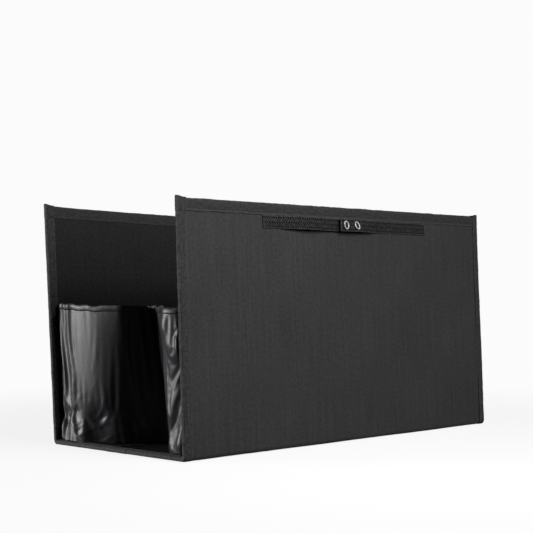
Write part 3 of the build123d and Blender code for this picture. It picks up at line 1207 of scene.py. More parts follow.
@dataclass
class Webbing:
    """One webbing of a strap: a sewn end on the panel and a free length that swings."""

    path: ShellPath
    name: str
    run: tuple[tuple[float, float], ...]
    wide: float = 16.6 * MM
    thick: float = 1.6 * MM
    middle: float = STRAP_DOWN
    rib: float = 3.9 * MM
    rib_high: float = 0.34 * MM
    stripe: float = 5.5 * MM
    step: float = 0.42 * MM
    twist: tuple[tuple[float, float, float], ...] = ()

    def out(self, x: Array) -> Array:
        """Distance of the back face off the cloth: a smooth curve through the run's points.

        Args:
            x: places along the strap.

        Returns:
            One distance per place.
        """
        xs, outs = (np.array(k) for k in zip(*self.run))
        level = np.clip((x[:, None] - xs[:-1]) / np.diff(xs), 0, 1)
        eased = level * level * (3 - 2 * level)
        return outs[0] + (eased * np.diff(outs)).sum(axis=1)

    def tilt(self, x: Array) -> Array:
        """Twist about the webbing's own line: a sum of bells of (place, reach, angle).

        Args:
            x: places along the strap.

        Returns:
            One angle per place, in radians.
        """
        total = np.zeros_like(x)
        for place, reach, angle in self.twist:
            total += angle * bump(x, place, reach)
        return total

    def section(self) -> tuple[Array, Array]:
        """The webbing's section, going up the outer face and down the back.

        Each long edge is a half circle as thick as the webbing.

        Returns:
            Place across and place through, in metres from the middle.
        """
        half, reach = self.wide / 2, self.thick / 2
        face = np.linspace(-half + reach, half - reach, 38)
        arc = np.linspace(-math.pi / 2, math.pi / 2, 9)[1:-1]
        across = np.concatenate([face, half - reach + reach * np.cos(arc), face[::-1],
                                 -half + reach - reach * np.cos(arc), face[:1]])
        through = np.concatenate([reach + 0 * face, -reach * np.sin(arc), -reach + 0 * face,
                                  reach * np.sin(arc), [reach]])
        return across, through

    def relief(self, x: Array, across: Array) -> Array:
        """Herringbone relief: ribs that slant one way and the other in stripes along the webbing.

        Args:
            x: places along the strap.
            across: places across it.

        Returns:
            How far the ribs stand out.
        """
        stripe = np.abs(((across / self.stripe) % 2) - 1) * self.stripe
        rib = 0.5 + 0.5 * np.cos(2 * math.pi * (x + stripe) / self.rib)
        groove = 1 - 0.5 * bump(np.abs(((across / self.stripe) % 1) - 0.5), 0.5, 0.09)
        return self.rib_high * rib * groove

    def build(self, thread: Thread, corners: list[tuple[float, float]], seed: int) -> list[bpy.types.Object]:
        """Makes the webbing and its stitches.

        Args:
            thread: its thread.
            corners: the stitch lines on the sewn end, as points of (x, place across).
            seed: picks the unevenness.

        Returns:
            The webbing and its stitches.
        """
        start, finish = self.run[0][0], self.run[-1][0]
        x = np.linspace(start, finish, int((finish - start) / self.step))
        across, through = self.section()
        ends = np.minimum(x - start, finish - x)
        closing = np.sqrt(np.clip(1 - (1 - np.clip(ends / (0.7 * MM), 0, 1)) ** 2, 0, 1))
        edge = 0.13 * MM * waves(x, 0 * x, seed, 5 * MM, 60 * MM)[:, None] * np.sign(across)
        wide = across[None, :] * (1 - 0.02 * (1 - closing[:, None])) + edge
        on_face = np.abs(through) > 0.5 * self.thick / 2
        relief = self.relief(x[:, None], across[None, :]) * np.sign(through) * on_face
        deep = (through[None, :] + relief) * closing[:, None]
        tilt = self.tilt(x)[:, None]
        place = wide * np.cos(tilt) + deep * np.sin(tilt)
        deep = deep * np.cos(tilt) - wide * np.sin(tilt)
        drift = 0.1 * MM * waves(x, 0 * x, seed + 1, 20 * MM, 70 * MM)
        lie = self.out(x)[:, None] + self.thick / 2 + drift[:, None]
        turn = -self.path.wall.value
        points = self.path.point(turn * x[:, None], self.middle - place, self.path.roll + lie + deep)
        surface = Surface(f"{self.path.name}_{self.name}")
        # paling from rubbing on the long edges and cut ends, plus painted highlight on the rib crests from
        # the cube of the relief
        wear = bump(np.abs(across), self.wide / 2, 0.8 * MM)[None, :] + bump(ends, 0, 1.2 * MM)[:, None]
        wear = np.clip(0.5 * wear + 0.8 * (relief / self.rib_high) ** 3, 0, 1)
        surface.grid(points, x[:, None], across[None, :], wear)
        made = surface.build()
        rows = Surface(f"{self.path.name}_{self.name}_stitches")
        corner = np.array(corners)
        for first, second in zip(corner[:-1], corner[1:]):
            share = np.linspace(0, 1, 40)[:, None]
            line = first + (second - first) * share
            out = self.out(line[:, 0]) + self.thick + 0.16 * MM
            sewn = self.path.point(turn * line[:, 0], self.middle - line[:, 1], self.path.roll + out)
            thread.sew(rows, sewn, self.path.outward(0 * share[:, 0]), seed=seed)
        stitches = rows.build(merge=False)
        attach(stitches, f"{self.path.name}_panel")
        return [made, stitches]

    def bend_at(self, made: bpy.types.Object, start: float, end: float) -> None:
        """Bakes the webbing's transform into its mesh.

        Args:
            made: the webbing.
            start: a place on the panel, not used beyond working out a point that nothing uses.
            end: a place on the free half, not used beyond working out a point that nothing uses.
        """
        turn = -self.path.wall.value
        places = [self.path.point(turn * x, self.middle, self.path.roll) for x in (start, end)]
        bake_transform(made)


@dataclass
class SnapStrap:
    """A wall's strap: two webbings that lap and snap together with ring snaps."""

    path: ShellPath
    left: float = -159 * MM
    left_tab: float = 17 * MM
    right: float = 169 * MM
    right_tab: float = 12 * MM
    lap: tuple[float, float] = (-20 * MM, 26 * MM)
    lie: float = 0.1 * MM
    under_back: float = 1.6 * MM
    over_back: float = 5.8 * MM
    bow: tuple[float, float] = (-80 * MM, 6.2 * MM)
    fall_to: float = 72 * MM
    snaps: tuple[tuple[float, float], ...] = ((-10 * MM, 5.0), (13 * MM, 17.0))
    swing: float = math.radians(9)
    ring_lift: float = 0.6 * MM
    ring_radius: float = 5.65 * MM
    ring_hole: float = 4.25 * MM
    ring_high: float = 1.2 * MM

    def box_stitch(self, low: float, high: float, cross: bool) -> list[tuple[float, float]]:
        """A sewn box between two places along the strap, with its two diagonals if cross is true.

        Args:
            low, high: places along the strap.
            cross: adds the diagonals.

        Returns:
            Points of (place along, place across).
        """
        v = 6.4 * MM
        around = [(low, -v), (high, -v), (high, v), (low, v), (low, -v)]
        return around + [(high, v), (high, -v), (low, v)] if cross else around

    def lower(self, thread: Thread) -> list[bpy.types.Object]:
        """The half sewn at the left, bowed off the cloth, whose free end lies under the lap.

        Args:
            thread: sews it.

        Returns:
            The webbing and its stitches.
        """
        tab_end = self.left + self.left_tab
        run = ((self.left, self.lie), (tab_end, self.lie), self.bow,
               (self.lap[0], self.under_back), (self.lap[1], self.under_back))
        webbing = Webbing(self.path, "lower_webbing", run)
        seams = self.box_stitch(self.left + 2 * MM, tab_end - 2 * MM, True)
        made, stitches = webbing.build(thread, seams, seed=71)
        webbing.bend_at(made, tab_end - 3 * MM, tab_end + 9 * MM)
        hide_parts(f"{self.path.name}_strap_under", f"{self.path.name}_strap_tab_left")
        return [made, stitches]

    def upper(self, thread: Thread) -> tuple[list[bpy.types.Object], Callable[[Array], Array]]:
        """The half sewn at the right, whose free end laps over and carries the rings.

        Args:
            thread: sews it.

        Returns:
            The pieces, and the webbing's face off the cloth as a function of the place along it.
        """
        tab_start = self.right - self.right_tab
        run = ((self.lap[0], self.over_back + 1.0 * MM), (self.lap[1], self.over_back),
               (self.fall_to, self.lie), (tab_start, self.lie), (self.right, self.lie))
        twist = tuple((x, 13 * MM, math.radians(0.45 * angle)) for x, angle in self.snaps)
        webbing = Webbing(self.path, "upper_webbing", run, twist=twist)
        seams = self.box_stitch(tab_start + 2 * MM, self.right - 2 * MM, False)
        made, stitches = webbing.build(thread, seams, seed=83)
        webbing.bend_at(made, tab_start + 3 * MM, tab_start - 9 * MM)
        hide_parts(f"{self.path.name}_strap_over", f"{self.path.name}_strap_tab_right")
        return [made, stitches], lambda x: webbing.out(x) + webbing.thick + 0.05 * MM

    def rings(self, face: Callable[[Array], Array]) -> bpy.types.Object:
        """The open snap rings: a rounded ring profile turned once round each snap.

        The section is a squarish ellipse whose back reaches a little further down.

        Args:
            face: gives the webbing's face off the cloth at places along it.

        Returns:
            One object with both rings.
        """
        surface = Surface(f"{self.path.name}_open_rings")
        around = np.linspace(0, 2 * math.pi, 73)[:, None]
        section = np.linspace(0, 2 * math.pi, 29)[None, :]
        middle = (self.ring_radius + self.ring_hole) / 2
        half = (self.ring_radius - self.ring_hole) / 2
        reach = middle + half * np.sign(np.cos(section)) * np.abs(np.cos(section)) ** 0.85
        rise = self.ring_high / 2 * (1 + np.sin(section)) - 0.3 * MM * (np.sin(section) < -0.2)
        turn = -self.path.wall.value
        for place, angle in self.snaps:
            tilt, swing = math.radians(angle), self.swing
            along, up = reach * np.cos(around), reach * np.sin(around)
            raised = rise * math.cos(tilt) - up * math.sin(tilt)
            x = place + along * math.cos(swing) + raised * math.sin(swing)
            s = STRAP_DOWN - (up * math.cos(tilt) + rise * math.sin(tilt))
            lie = float(face(np.array([place]))[0]) + self.ring_lift
            h = self.path.roll + lie + raised * math.cos(swing) - along * math.sin(swing)
            points = self.path.point(turn * x, s, h)
            surface.grid(points, middle * around + 0 * rise, 0.3 * MM * section + 0 * around, flip=False)
        made = surface.build()
        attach(made, f"{self.path.name}_strap_upper_half")
        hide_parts(f"{self.path.name}_snap_rings")
        return made

    def build(self, thread: Thread) -> list[bpy.types.Object]:
        """Makes both halves and the rings."""
        upper, face = self.upper(thread)
        return self.lower(thread) + upper + [self.rings(face)]


# ------------------------------------------------------------------ finishes


Socket = bpy.types.NodeSocket


class Wiring:
    """A node tree with short ways to add nodes and links."""

    def __init__(self, tree: bpy.types.NodeTree) -> None:
        """Works on a tree."""
        self.tree = tree

    def add(self, kind: str, **values: object) -> bpy.types.Node:
        """A new node with its properties set.

        Args:
            kind: the node's type.
            values: its properties.

        Returns:
            The node.
        """
        node = self.tree.nodes.new(kind)
        for key, value in values.items():
            setattr(node, key, value)
        return node

    def put(self, socket: Socket, value: object) -> None:
        """Links an output to a socket, or sets the socket's own value.

        Args:
            socket: an input.
            value: an output socket, or a plain value.
        """
        if isinstance(value, bpy.types.NodeSocket):
            self.tree.links.new(value, socket)
        else:
            socket.default_value = value

    def math(self, operation: str, *values: object, clamp: bool = False) -> Socket:
        """A Math node's result.

        Args:
            operation: Blender's name for it.
            values: the inputs, as sockets or numbers.
            clamp: keeps the result between 0 and 1.

        Returns:
            The result.
        """
        node = self.add("ShaderNodeMath", operation=operation, use_clamp=clamp)
        for socket, value in zip(node.inputs, values):
            self.put(socket, value)
        return node.outputs[0]

    def mix(self, factor: object, first: object, second: object) -> Socket:
        """A colour mix's result.

        Args:
            factor: 0 for the first colour, 1 for the second.
            first, second: colours.

        Returns:
            The mixed colour.
        """
        node = self.add("ShaderNodeMix", data_type="RGBA")
        self.put(node.inputs["Factor"], factor)
        self.put(node.inputs[6], first)
        self.put(node.inputs[7], second)
        return node.outputs[2]

    def scale(self, vector: object, factor: Socket) -> Socket:
        """A colour or vector times a factor.

        Args:
            vector: a socket or plain values.
            factor: what multiplies it.

        Returns:
            The product.
        """
        node = self.add("ShaderNodeVectorMath", operation="SCALE")
        self.put(node.inputs[0], vector)
        self.put(node.inputs["Scale"], factor)
        return node.outputs[0]

    def relief(self, shader: bpy.types.Node, height: Socket, strength: float = 1.0) -> None:
        """Turns a shader's normal by a height in metres.

        Args:
            shader: the shader.
            height: a height in metres.
            strength: 0 to 1, how strongly the height shows.
        """
        node = self.add("ShaderNodeBump")
        self.put(node.inputs["Height"], height)
        self.put(node.inputs["Distance"], 1.0)
        self.put(node.inputs["Strength"], strength)
        self.put(shader.inputs["Normal"], node.outputs[0])

    def ramp(self, value: object, low: float, high: float) -> Socket:
        """0 below low, 1 above high, smooth between.

        Args:
            value: what is measured.
            low, high: where the step starts and ends.

        Returns:
            The step.
        """
        node = self.add("ShaderNodeMapRange", interpolation_type="SMOOTHSTEP")
        self.put(node.inputs["Value"], value)
        self.put(node.inputs["From Min"], low)
        self.put(node.inputs["From Max"], high)
        return node.outputs["Result"]

    def noise(self, vector: Socket, scale: float, detail: float = 2.0, stretch: tuple = (1, 1, 1)) -> Socket:
        """Noise of about 0 to 1 with a scale per axis.

        Args:
            vector: pattern coordinates.
            scale: how fine the noise is.
            detail: octaves.
            stretch: how much finer it is on each axis.

        Returns:
            The noise.
        """
        place = self.add("ShaderNodeMapping")
        self.put(place.inputs["Vector"], vector)
        self.put(place.inputs["Scale"], stretch)
        node = self.add("ShaderNodeTexNoise")
        self.put(node.inputs["Vector"], place.outputs[0])
        self.put(node.inputs["Scale"], scale)
        self.put(node.inputs["Detail"], detail)
        return node.outputs[0]


def new_material(name: str) -> tuple[bpy.types.Material, Wiring, bpy.types.Node]:
    """A material, its wiring and its Principled shader.

    Args:
        name: the material's name.

    Returns:
        The three of them.
    """
    material = bpy.data.materials.new(name)
    material.use_nodes = True
    return material, Wiring(material.node_tree), material.node_tree.nodes["Principled BSDF"]


def new_group(name: str, inputs: dict[str, tuple[str, object]], outputs: dict[str, str]) -> tuple:
    """A shader node group with named sockets.

    Args:
        name: the group's name.
        inputs: socket name to (kind, default value), kind being Float, Vector or Color.
        outputs: socket name to kind.

    Returns:
        The tree, its wiring, the inputs' node and the outputs' node.
    """
    tree = bpy.data.node_groups.new(name, "ShaderNodeTree")
    for label, (kind, value) in inputs.items():
        socket = tree.interface.new_socket(name=label, in_out="INPUT", socket_type=f"NodeSocket{kind}")
        if value is not None:
            socket.default_value = value
    for label, kind in outputs.items():
        tree.interface.new_socket(name=label, in_out="OUTPUT", socket_type=f"NodeSocket{kind}")
    wiring = Wiring(tree)
    return tree, wiring, wiring.add("NodeGroupInput"), wiring.add("NodeGroupOutput")


def weave_group() -> bpy.types.NodeTree:
    """Plain weave: each thread is a rounded bar that goes over and under its neighbours.

    Height is 0.5 + 0.5 sin(pi u/p) sin(pi v/p), and Gap, which is high between threads, is the fourth
    power of 1 - |sin(pi u/p) sin(pi v/p)|; the finishes darken the colour by Gap as painted shade between
    threads.

    Returns:
        The group.
    """
    tree, wire, given, made = new_group(
        "weave", {"Vector": ("Vector", None), "Pitch": ("Float", 0.0005), "Uneven": ("Float", 0.3)},
        {"Height": "Float", "Gap": "Float"})
    part = wire.add("ShaderNodeSeparateXYZ")
    wire.put(part.inputs[0], given.outputs["Vector"])
    drift = wire.noise(given.outputs["Vector"], 260.0, 1.0)
    drift = wire.math("MULTIPLY", drift, given.outputs["Uneven"])
    u = wire.math("DIVIDE", part.outputs[0], given.outputs["Pitch"])
    v = wire.math("DIVIDE", part.outputs[1], given.outputs["Pitch"])
    u = wire.math("MULTIPLY", wire.math("ADD", u, drift), math.pi)
    v = wire.math("MULTIPLY", wire.math("ADD", v, drift), math.pi)
    cross = wire.math("MULTIPLY", wire.math("SINE", u), wire.math("SINE", v))
    wire.put(made.inputs["Height"], wire.math("MULTIPLY_ADD", cross, 0.5, 0.5))
    gap = wire.math("SUBTRACT", 1.0, wire.math("ABSOLUTE", cross))
    wire.put(made.inputs["Gap"], wire.math("POWER", gap, 4.0))
    return tree


def ribs_group() -> bpy.types.NodeTree:
    """Fine ribs across u: 0.5 + 0.5 cos(2 pi u/p), with each rib's strength following noise; the finishes use
    it for bump and for painted light and shade on the ribs.

    Returns:
        The group.
    """
    tree, wire, given, made = new_group(
        "ribs", {"Vector": ("Vector", None), "Pitch": ("Float", 0.0016), "Uneven": ("Float", 0.5)},
        {"Height": "Float"})
    part = wire.add("ShaderNodeSeparateXYZ")
    wire.put(part.inputs[0], given.outputs["Vector"])
    drift = wire.noise(given.outputs["Vector"], 60.0, 2.0, (1, 0.15, 1))
    drift = wire.math("MULTIPLY", drift, given.outputs["Uneven"])
    u = wire.math("ADD", wire.math("DIVIDE", part.outputs[0], given.outputs["Pitch"]), drift)
    wave = wire.math("COSINE", wire.math("MULTIPLY", u, 2 * math.pi))
    wire.put(made.inputs["Height"], wire.math("MULTIPLY_ADD", wave, 0.5, 0.5))
    return tree


def blotch_group() -> bpy.types.NodeTree:
    """Faint unevenness of the dye: broad clouds and long streaks along v, from about -1 to 1.

    Returns:
        The group.
    """
    tree, wire, given, made = new_group(
        "dye_clouds", {"Vector": ("Vector", None)},
        {"Clouds": "Float", "Streaks": "Float", "Mottle": "Float"})
    even = (1, 1, 1)
    for label, scale, stretch in (("Mottle", 260.0, even), ("Clouds", 9.0, even),
                                  ("Streaks", 1.0, (300, 9, 1))):
        noise = wire.noise(given.outputs["Vector"], scale, 3.0, stretch)
        wire.put(made.inputs[label], wire.math("MULTIPLY_ADD", noise, 4.0, -2.0))
    return tree


def lint_group() -> bpy.types.NodeTree:
    """A few pale specks of lint: 1 inside a small distance of a share of the cells' points.

    Returns:
        The group.
    """
    tree, wire, given, made = new_group(
        "lint", {"Vector": ("Vector", None), "Cell": ("Float", 0.012), "Share": ("Float", 0.2)},
        {"Mask": "Float"})
    place = wire.scale(given.outputs["Vector"], wire.math("DIVIDE", 1.0, given.outputs["Cell"]))
    cells = wire.add("ShaderNodeTexVoronoi", feature="F1")
    wire.put(cells.inputs["Vector"], place)
    wire.put(cells.inputs["Scale"], 1.0)
    part = wire.add("ShaderNodeSeparateXYZ")
    wire.put(part.inputs[0], cells.outputs["Color"])
    chosen = wire.math("LESS_THAN", part.outputs[0], given.outputs["Share"])
    size = wire.math("MULTIPLY_ADD", part.outputs[1], 0.030, 0.012)
    near = wire.math("SUBTRACT", 1.0, wire.math("DIVIDE", cells.outputs["Distance"], size), clamp=True)
    wire.put(made.inputs["Mask"], wire.math("MULTIPLY", near, chosen))
    return tree


def rubbed_and_highlight_group() -> bpy.types.NodeTree:
    """Paling from rubbing and painted highlight: the piece's own value for both, broken up by noise.

    Returns:
        The group.
    """
    tree, wire, given, made = new_group(
        "rubbed_edge", {"Vector": ("Vector", None), "Wear": ("Float", 0.0)}, {"Mask": "Float"})
    patchy = wire.noise(given.outputs["Vector"], 240.0, 3.0)
    patchy = wire.ramp(patchy, 0.1, 0.8)
    wire.put(made.inputs["Mask"], wire.math("MULTIPLY", given.outputs["Wear"], patchy, clamp=True))
    return tree


class Groups:
    """The node groups that the finishes share, each built once."""

    def __init__(self) -> None:
        """Builds them."""
        self.weave = weave_group()
        self.ribs = ribs_group()
        self.clouds = blotch_group()
        self.lint = lint_group()
        self.rubbed_and_highlight = rubbed_and_highlight_group()


@dataclass(frozen=True)
class ClothFinish:
    """A dyed woven cloth: thread relief, ribs, uneven dye, lint, edges paler from rubbing and from painted
    highlight, painted shade between threads, and painted light and shade on the ribs.

    Colours are linear. Heights are in metres.
    """

    name: str = "cloth"
    colour: tuple[float, float, float] = (0.04, 0.04, 0.042)
    # paler colour for places that are rubbed and for painted highlight
    rubbed_and_highlight: tuple[float, float, float] = (0.12, 0.12, 0.125)
    roughness: float = 0.8
    roughness_change: float = 0.12
    specular: float = 0.3
    sheen: float = 0.12
    sheen_roughness: float = 0.45
    pitch: float = 0.55 * MM
    thread_high: float = 0.10 * MM
    rib_pitch: float = 1.6 * MM
    rib_high: float = 0.04 * MM
    rib_painted_shading: float = 0.08
    cloud_shade: float = 0.14
    streak_shade: float = 0.09
    mottle_shade: float = 0.26
    gap_painted_shade: float = 0.35
    lint_share: float = 0.10
    lint_cell: float = 14 * MM
    # how far the paler colour shows, for rubbing and for painted highlight
    wear: float = 0.6
    coat: float = 0.0
    coat_roughness: float = 0.3

    def make(self, groups: Groups) -> bpy.types.Material:
        """Builds the material: dye colour times cloud shades, with painted shade in the weave's gaps and
        painted light and shade on the ribs, then paling from rubbing and painted highlight, and lint.

        Args:
            groups: the shared node groups.

        Returns:
            The material.
        """
        material, wire, shader = new_material(self.name)
        uv = wire.add("ShaderNodeUVMap", uv_map="UVMap").outputs[0]
        weave = self.place(wire, groups.weave, Vector=uv, Pitch=self.pitch)
        ribs = self.place(wire, groups.ribs, Vector=uv, Pitch=self.rib_pitch)
        clouds = self.place(wire, groups.clouds, Vector=uv)
        lint = self.place(wire, groups.lint, Vector=uv, Cell=self.lint_cell, Share=self.lint_share)
        worn_and_lit = wire.add("ShaderNodeAttribute", attribute_name="wear")
        rubbed_and_highlight = self.place(wire, groups.rubbed_and_highlight, Vector=uv, Wear=worn_and_lit.outputs["Fac"])
        shade = 1.0
        for label, amount in (("Clouds", self.cloud_shade), ("Streaks", self.streak_shade),
                              ("Mottle", self.mottle_shade)):
            shade = wire.math("MULTIPLY_ADD", clouds.outputs[label], amount, shade)
        # lightens the rib crests and darkens the troughs as painted light and shade
        rib = wire.math("SUBTRACT", ribs.outputs["Height"], 0.5)
        shade = wire.math("MULTIPLY_ADD", rib, self.rib_painted_shading, shade)
        # darkens the colour between threads as painted shade
        gaps = wire.math("MULTIPLY_ADD", weave.outputs["Gap"], -self.gap_painted_shade, shade)
        tint = wire.scale(self.colour, gaps)
        # mixes towards the paler colour where rubbed, and as painted highlight on tape free edges and webbing
        # rib crests
        worn_and_lit_share = wire.math("MULTIPLY", rubbed_and_highlight.outputs["Mask"], self.wear)
        colour = wire.mix(worn_and_lit_share, tint, (*self.rubbed_and_highlight, 1))
        speck = wire.math("MULTIPLY", lint.outputs["Mask"], 0.5)
        colour = wire.mix(speck, colour, (0.42, 0.42, 0.42, 1))
        wire.put(shader.inputs["Base Color"], colour)
        rough = wire.math("MULTIPLY_ADD", clouds.outputs["Clouds"], self.roughness_change, self.roughness)
        wire.put(shader.inputs["Roughness"], rough)
        high = wire.math("MULTIPLY", weave.outputs["Height"], self.thread_high)
        high = wire.math("MULTIPLY_ADD", ribs.outputs["Height"], self.rib_high, high)
        wire.relief(shader, high, 0.8)
        plain = {"Specular IOR Level": self.specular, "Sheen Weight": self.sheen,
                 "Sheen Roughness": self.sheen_roughness, "Coat Weight": self.coat,
                 "Coat Roughness": self.coat_roughness}
        for label, value in plain.items():
            shader.inputs[label].default_value = value
        return material

    def place(self, wire: Wiring, group: bpy.types.NodeTree, **values: object) -> bpy.types.Node:
        """Puts a group in the material with its values.

        Args:
            wire: the material's wiring.
            group: the node group.
            values: its inputs by name.

        Returns:
            The group's node.
        """
        node = wire.add("ShaderNodeGroup", node_tree=group)
        for label, value in values.items():
            wire.put(node.inputs[label], value)
        return node


@dataclass(frozen=True)
class OuterCloth(ClothFinish):
    """The black polyester on the outside, with faint upright ribs."""

    name: str = "black_outer_cloth"
    colour: tuple[float, float, float] = (0.0405, 0.040, 0.0405)
    cloud_shade: float = 0.20
    streak_shade: float = 0.16
    mottle_shade: float = 0.24


@dataclass(frozen=True)
class HemCloth(ClothFinish):
    """The same cloth doubled over the rim, running along it, with a painted highlight along its free lower
    edge.
    """

    name: str = "black_hem_cloth"
    colour: tuple[float, float, float] = (0.032, 0.032, 0.033)
    rib_painted_shading: float = 0.03
    mottle_shade: float = 0.45
    wear: float = 0.6


@dataclass(frozen=True)
class BindingTape(ClothFinish):
    """Ribbed binding tape, paler where rubbing wears its fold over the edge, and with a painted highlight
    along its free edges.
    """

    name: str = "black_binding_tape"
    colour: tuple[float, float, float] = (0.037, 0.037, 0.038)
    rubbed_and_highlight: tuple[float, float, float] = (0.16, 0.16, 0.165)
    rib_pitch: float = 0.9 * MM
    rib_high: float = 0.06 * MM
    mottle_shade: float = 0.60
    wear: float = 0.75


@dataclass(frozen=True)
class LiningCloth(ClothFinish):
    """The plain lining inside."""

    name: str = "black_lining_cloth"
    colour: tuple[float, float, float] = (0.024, 0.024, 0.024)
    roughness: float = 0.85
    specular: float = 0.12
    sheen: float = 0.0
    lint_share: float = 0.04


@dataclass(frozen=True)
class GussetNylon(ClothFinish):
    """Thin crisp nylon with a satin face."""

    name: str = "black_gusset_nylon"
    colour: tuple[float, float, float] = (0.040, 0.0395, 0.0455)
    roughness: float = 0.42
    roughness_change: float = 0.05
    specular: float = 0.45
    sheen: float = 0.15
    sheen_roughness: float = 0.3
    pitch: float = 0.32 * MM
    thread_high: float = 0.03 * MM
    rib_pitch: float = 0.7 * MM
    rib_high: float = 0.012 * MM
    rib_painted_shading: float = 0.03
    gap_painted_shade: float = 0.15
    lint_share: float = 0.02
    coat: float = 0.18
    coat_roughness: float = 0.36


@dataclass(frozen=True)
class StrapWebbing(ClothFinish):
    """Tightly woven webbing, paler on its rubbed edges and with painted highlight on its rib crests."""

    name: str = "black_webbing"
    colour: tuple[float, float, float] = (0.0025, 0.0025, 0.0025)
    rubbed_and_highlight: tuple[float, float, float] = (0.17, 0.17, 0.172)
    specular: float = 0.12
    sheen: float = 0.0
    pitch: float = 0.45 * MM
    thread_high: float = 0.08 * MM
    rib_painted_shading: float = 0.02
    rib_high: float = 0.0
    roughness: float = 0.6
    wear: float = 0.9


@dataclass(frozen=True)
class SewingThread(ClothFinish):
    """Twisted black thread, a little glossier than the cloth."""

    name: str = "black_thread"
    colour: tuple[float, float, float] = (0.075, 0.075, 0.078)
    roughness: float = 0.5
    mottle_shade: float = 0.5
    pitch: float = 0.3 * MM
    thread_high: float = 0.02 * MM
    rib_high: float = 0.0
    lint_share: float = 0.0


@dataclass(frozen=True)
class PlatedMetal:
    """Bright nickel plate with fine scratches and faint dulling."""

    name: str = "nickel_plate"
    colour: tuple[float, float, float] = (0.93, 0.93, 0.92)
    roughness: float = 0.36

    def make(self, groups: Groups) -> bpy.types.Material:
        """Builds the metal: noise changes its roughness and shade, and stretched noise scratches it.

        Args:
            groups: the shared node groups, which plain metal leaves alone.

        Returns:
            The material.
        """
        material, wire, shader = new_material(self.name)
        place = wire.add("ShaderNodeTexCoord").outputs["Object"]
        dull = wire.noise(place, 500.0, 3.0)
        scratch = wire.noise(place, 900.0, 2.0, (1, 1, 8))
        shade = wire.math("MULTIPLY_ADD", dull, 0.25, 0.87)
        wire.put(shader.inputs["Base Color"], wire.scale(self.colour, shade))
        wire.put(shader.inputs["Roughness"], wire.math("MULTIPLY_ADD", dull, 0.16, self.roughness - 0.06))
        wire.relief(shader, wire.math("MULTIPLY", scratch, 0.01 * MM))
        shader.inputs["Metallic"].default_value = 0.35
        return material


@dataclass(frozen=True)
class StiffenerBoard:
    """Pressed board inside the walls, which nothing shows unless a wall is opened up."""

    name: str = "pressed_board"
    colour: tuple[float, float, float] = (0.36, 0.24, 0.14)
    roughness: float = 0.85

    def make(self, groups: Groups) -> bpy.types.Material:
        """Builds the board: fibres as noise stretched along it.

        Args:
            groups: the shared node groups, which the board leaves alone.

        Returns:
            The material.
        """
        material, wire, shader = new_material(self.name)
        place = wire.add("ShaderNodeTexCoord").outputs["Object"]
        fibre = wire.noise(place, 400.0, 4.0, (0.2, 1, 1))
        dark = tuple(0.6 * c for c in self.colour)
        wire.put(shader.inputs["Base Color"], wire.mix(fibre, (*dark, 1), (*self.colour, 1)))
        wire.put(shader.inputs["Roughness"], wire.math("MULTIPLY_ADD", fibre, 0.1, self.roughness - 0.05))
        wire.relief(shader, wire.math("MULTIPLY", fibre, 0.15 * MM))
        return material


@dataclass
class Wardrobe:
    """Dresses every piece and every carried-over node by its kind."""

    groups: Groups = field(default_factory=Groups)

    def __post_init__(self) -> None:
        """Makes each finish once."""
        cloths = (OuterCloth(), HemCloth(), BindingTape(), LiningCloth(), GussetNylon(), StrapWebbing(),
                  SewingThread())
        self.finish = {type(f): f.make(self.groups) for f in (*cloths, PlatedMetal(), StiffenerBoard())}

    def kind_of(self, name: str) -> type:
        """The finish for a piece's or a node's name.

        Args:
            name: a piece's or a node's name.

        Returns:
            The finish's class.
        """
        rules = (("stitches", SewingThread), ("ring", PlatedMetal), ("snap", PlatedMetal),
                 ("board", StiffenerBoard), ("gusset", GussetNylon), ("tape", BindingTape),
                 ("binding", BindingTape), ("webbing", StrapWebbing), ("strap", StrapWebbing),
                 ("hem", HemCloth), ("lining", LiningCloth), ("cloth", OuterCloth), ("roll", OuterCloth))
        return next(kind for word, kind in rules if word in name)

    def dress(self, made: bpy.types.Object) -> None:
        """Gives an object its finish, on its first slot and any others.

        Args:
            made: the piece or node.
        """
        material = self.finish[self.kind_of(made.name)]
        if not made.data.materials:
            made.data.materials.append(material)
        for index in range(len(made.material_slots)):
            made.material_slots[index].material = material


# ------------------------------------------------------------------ studio


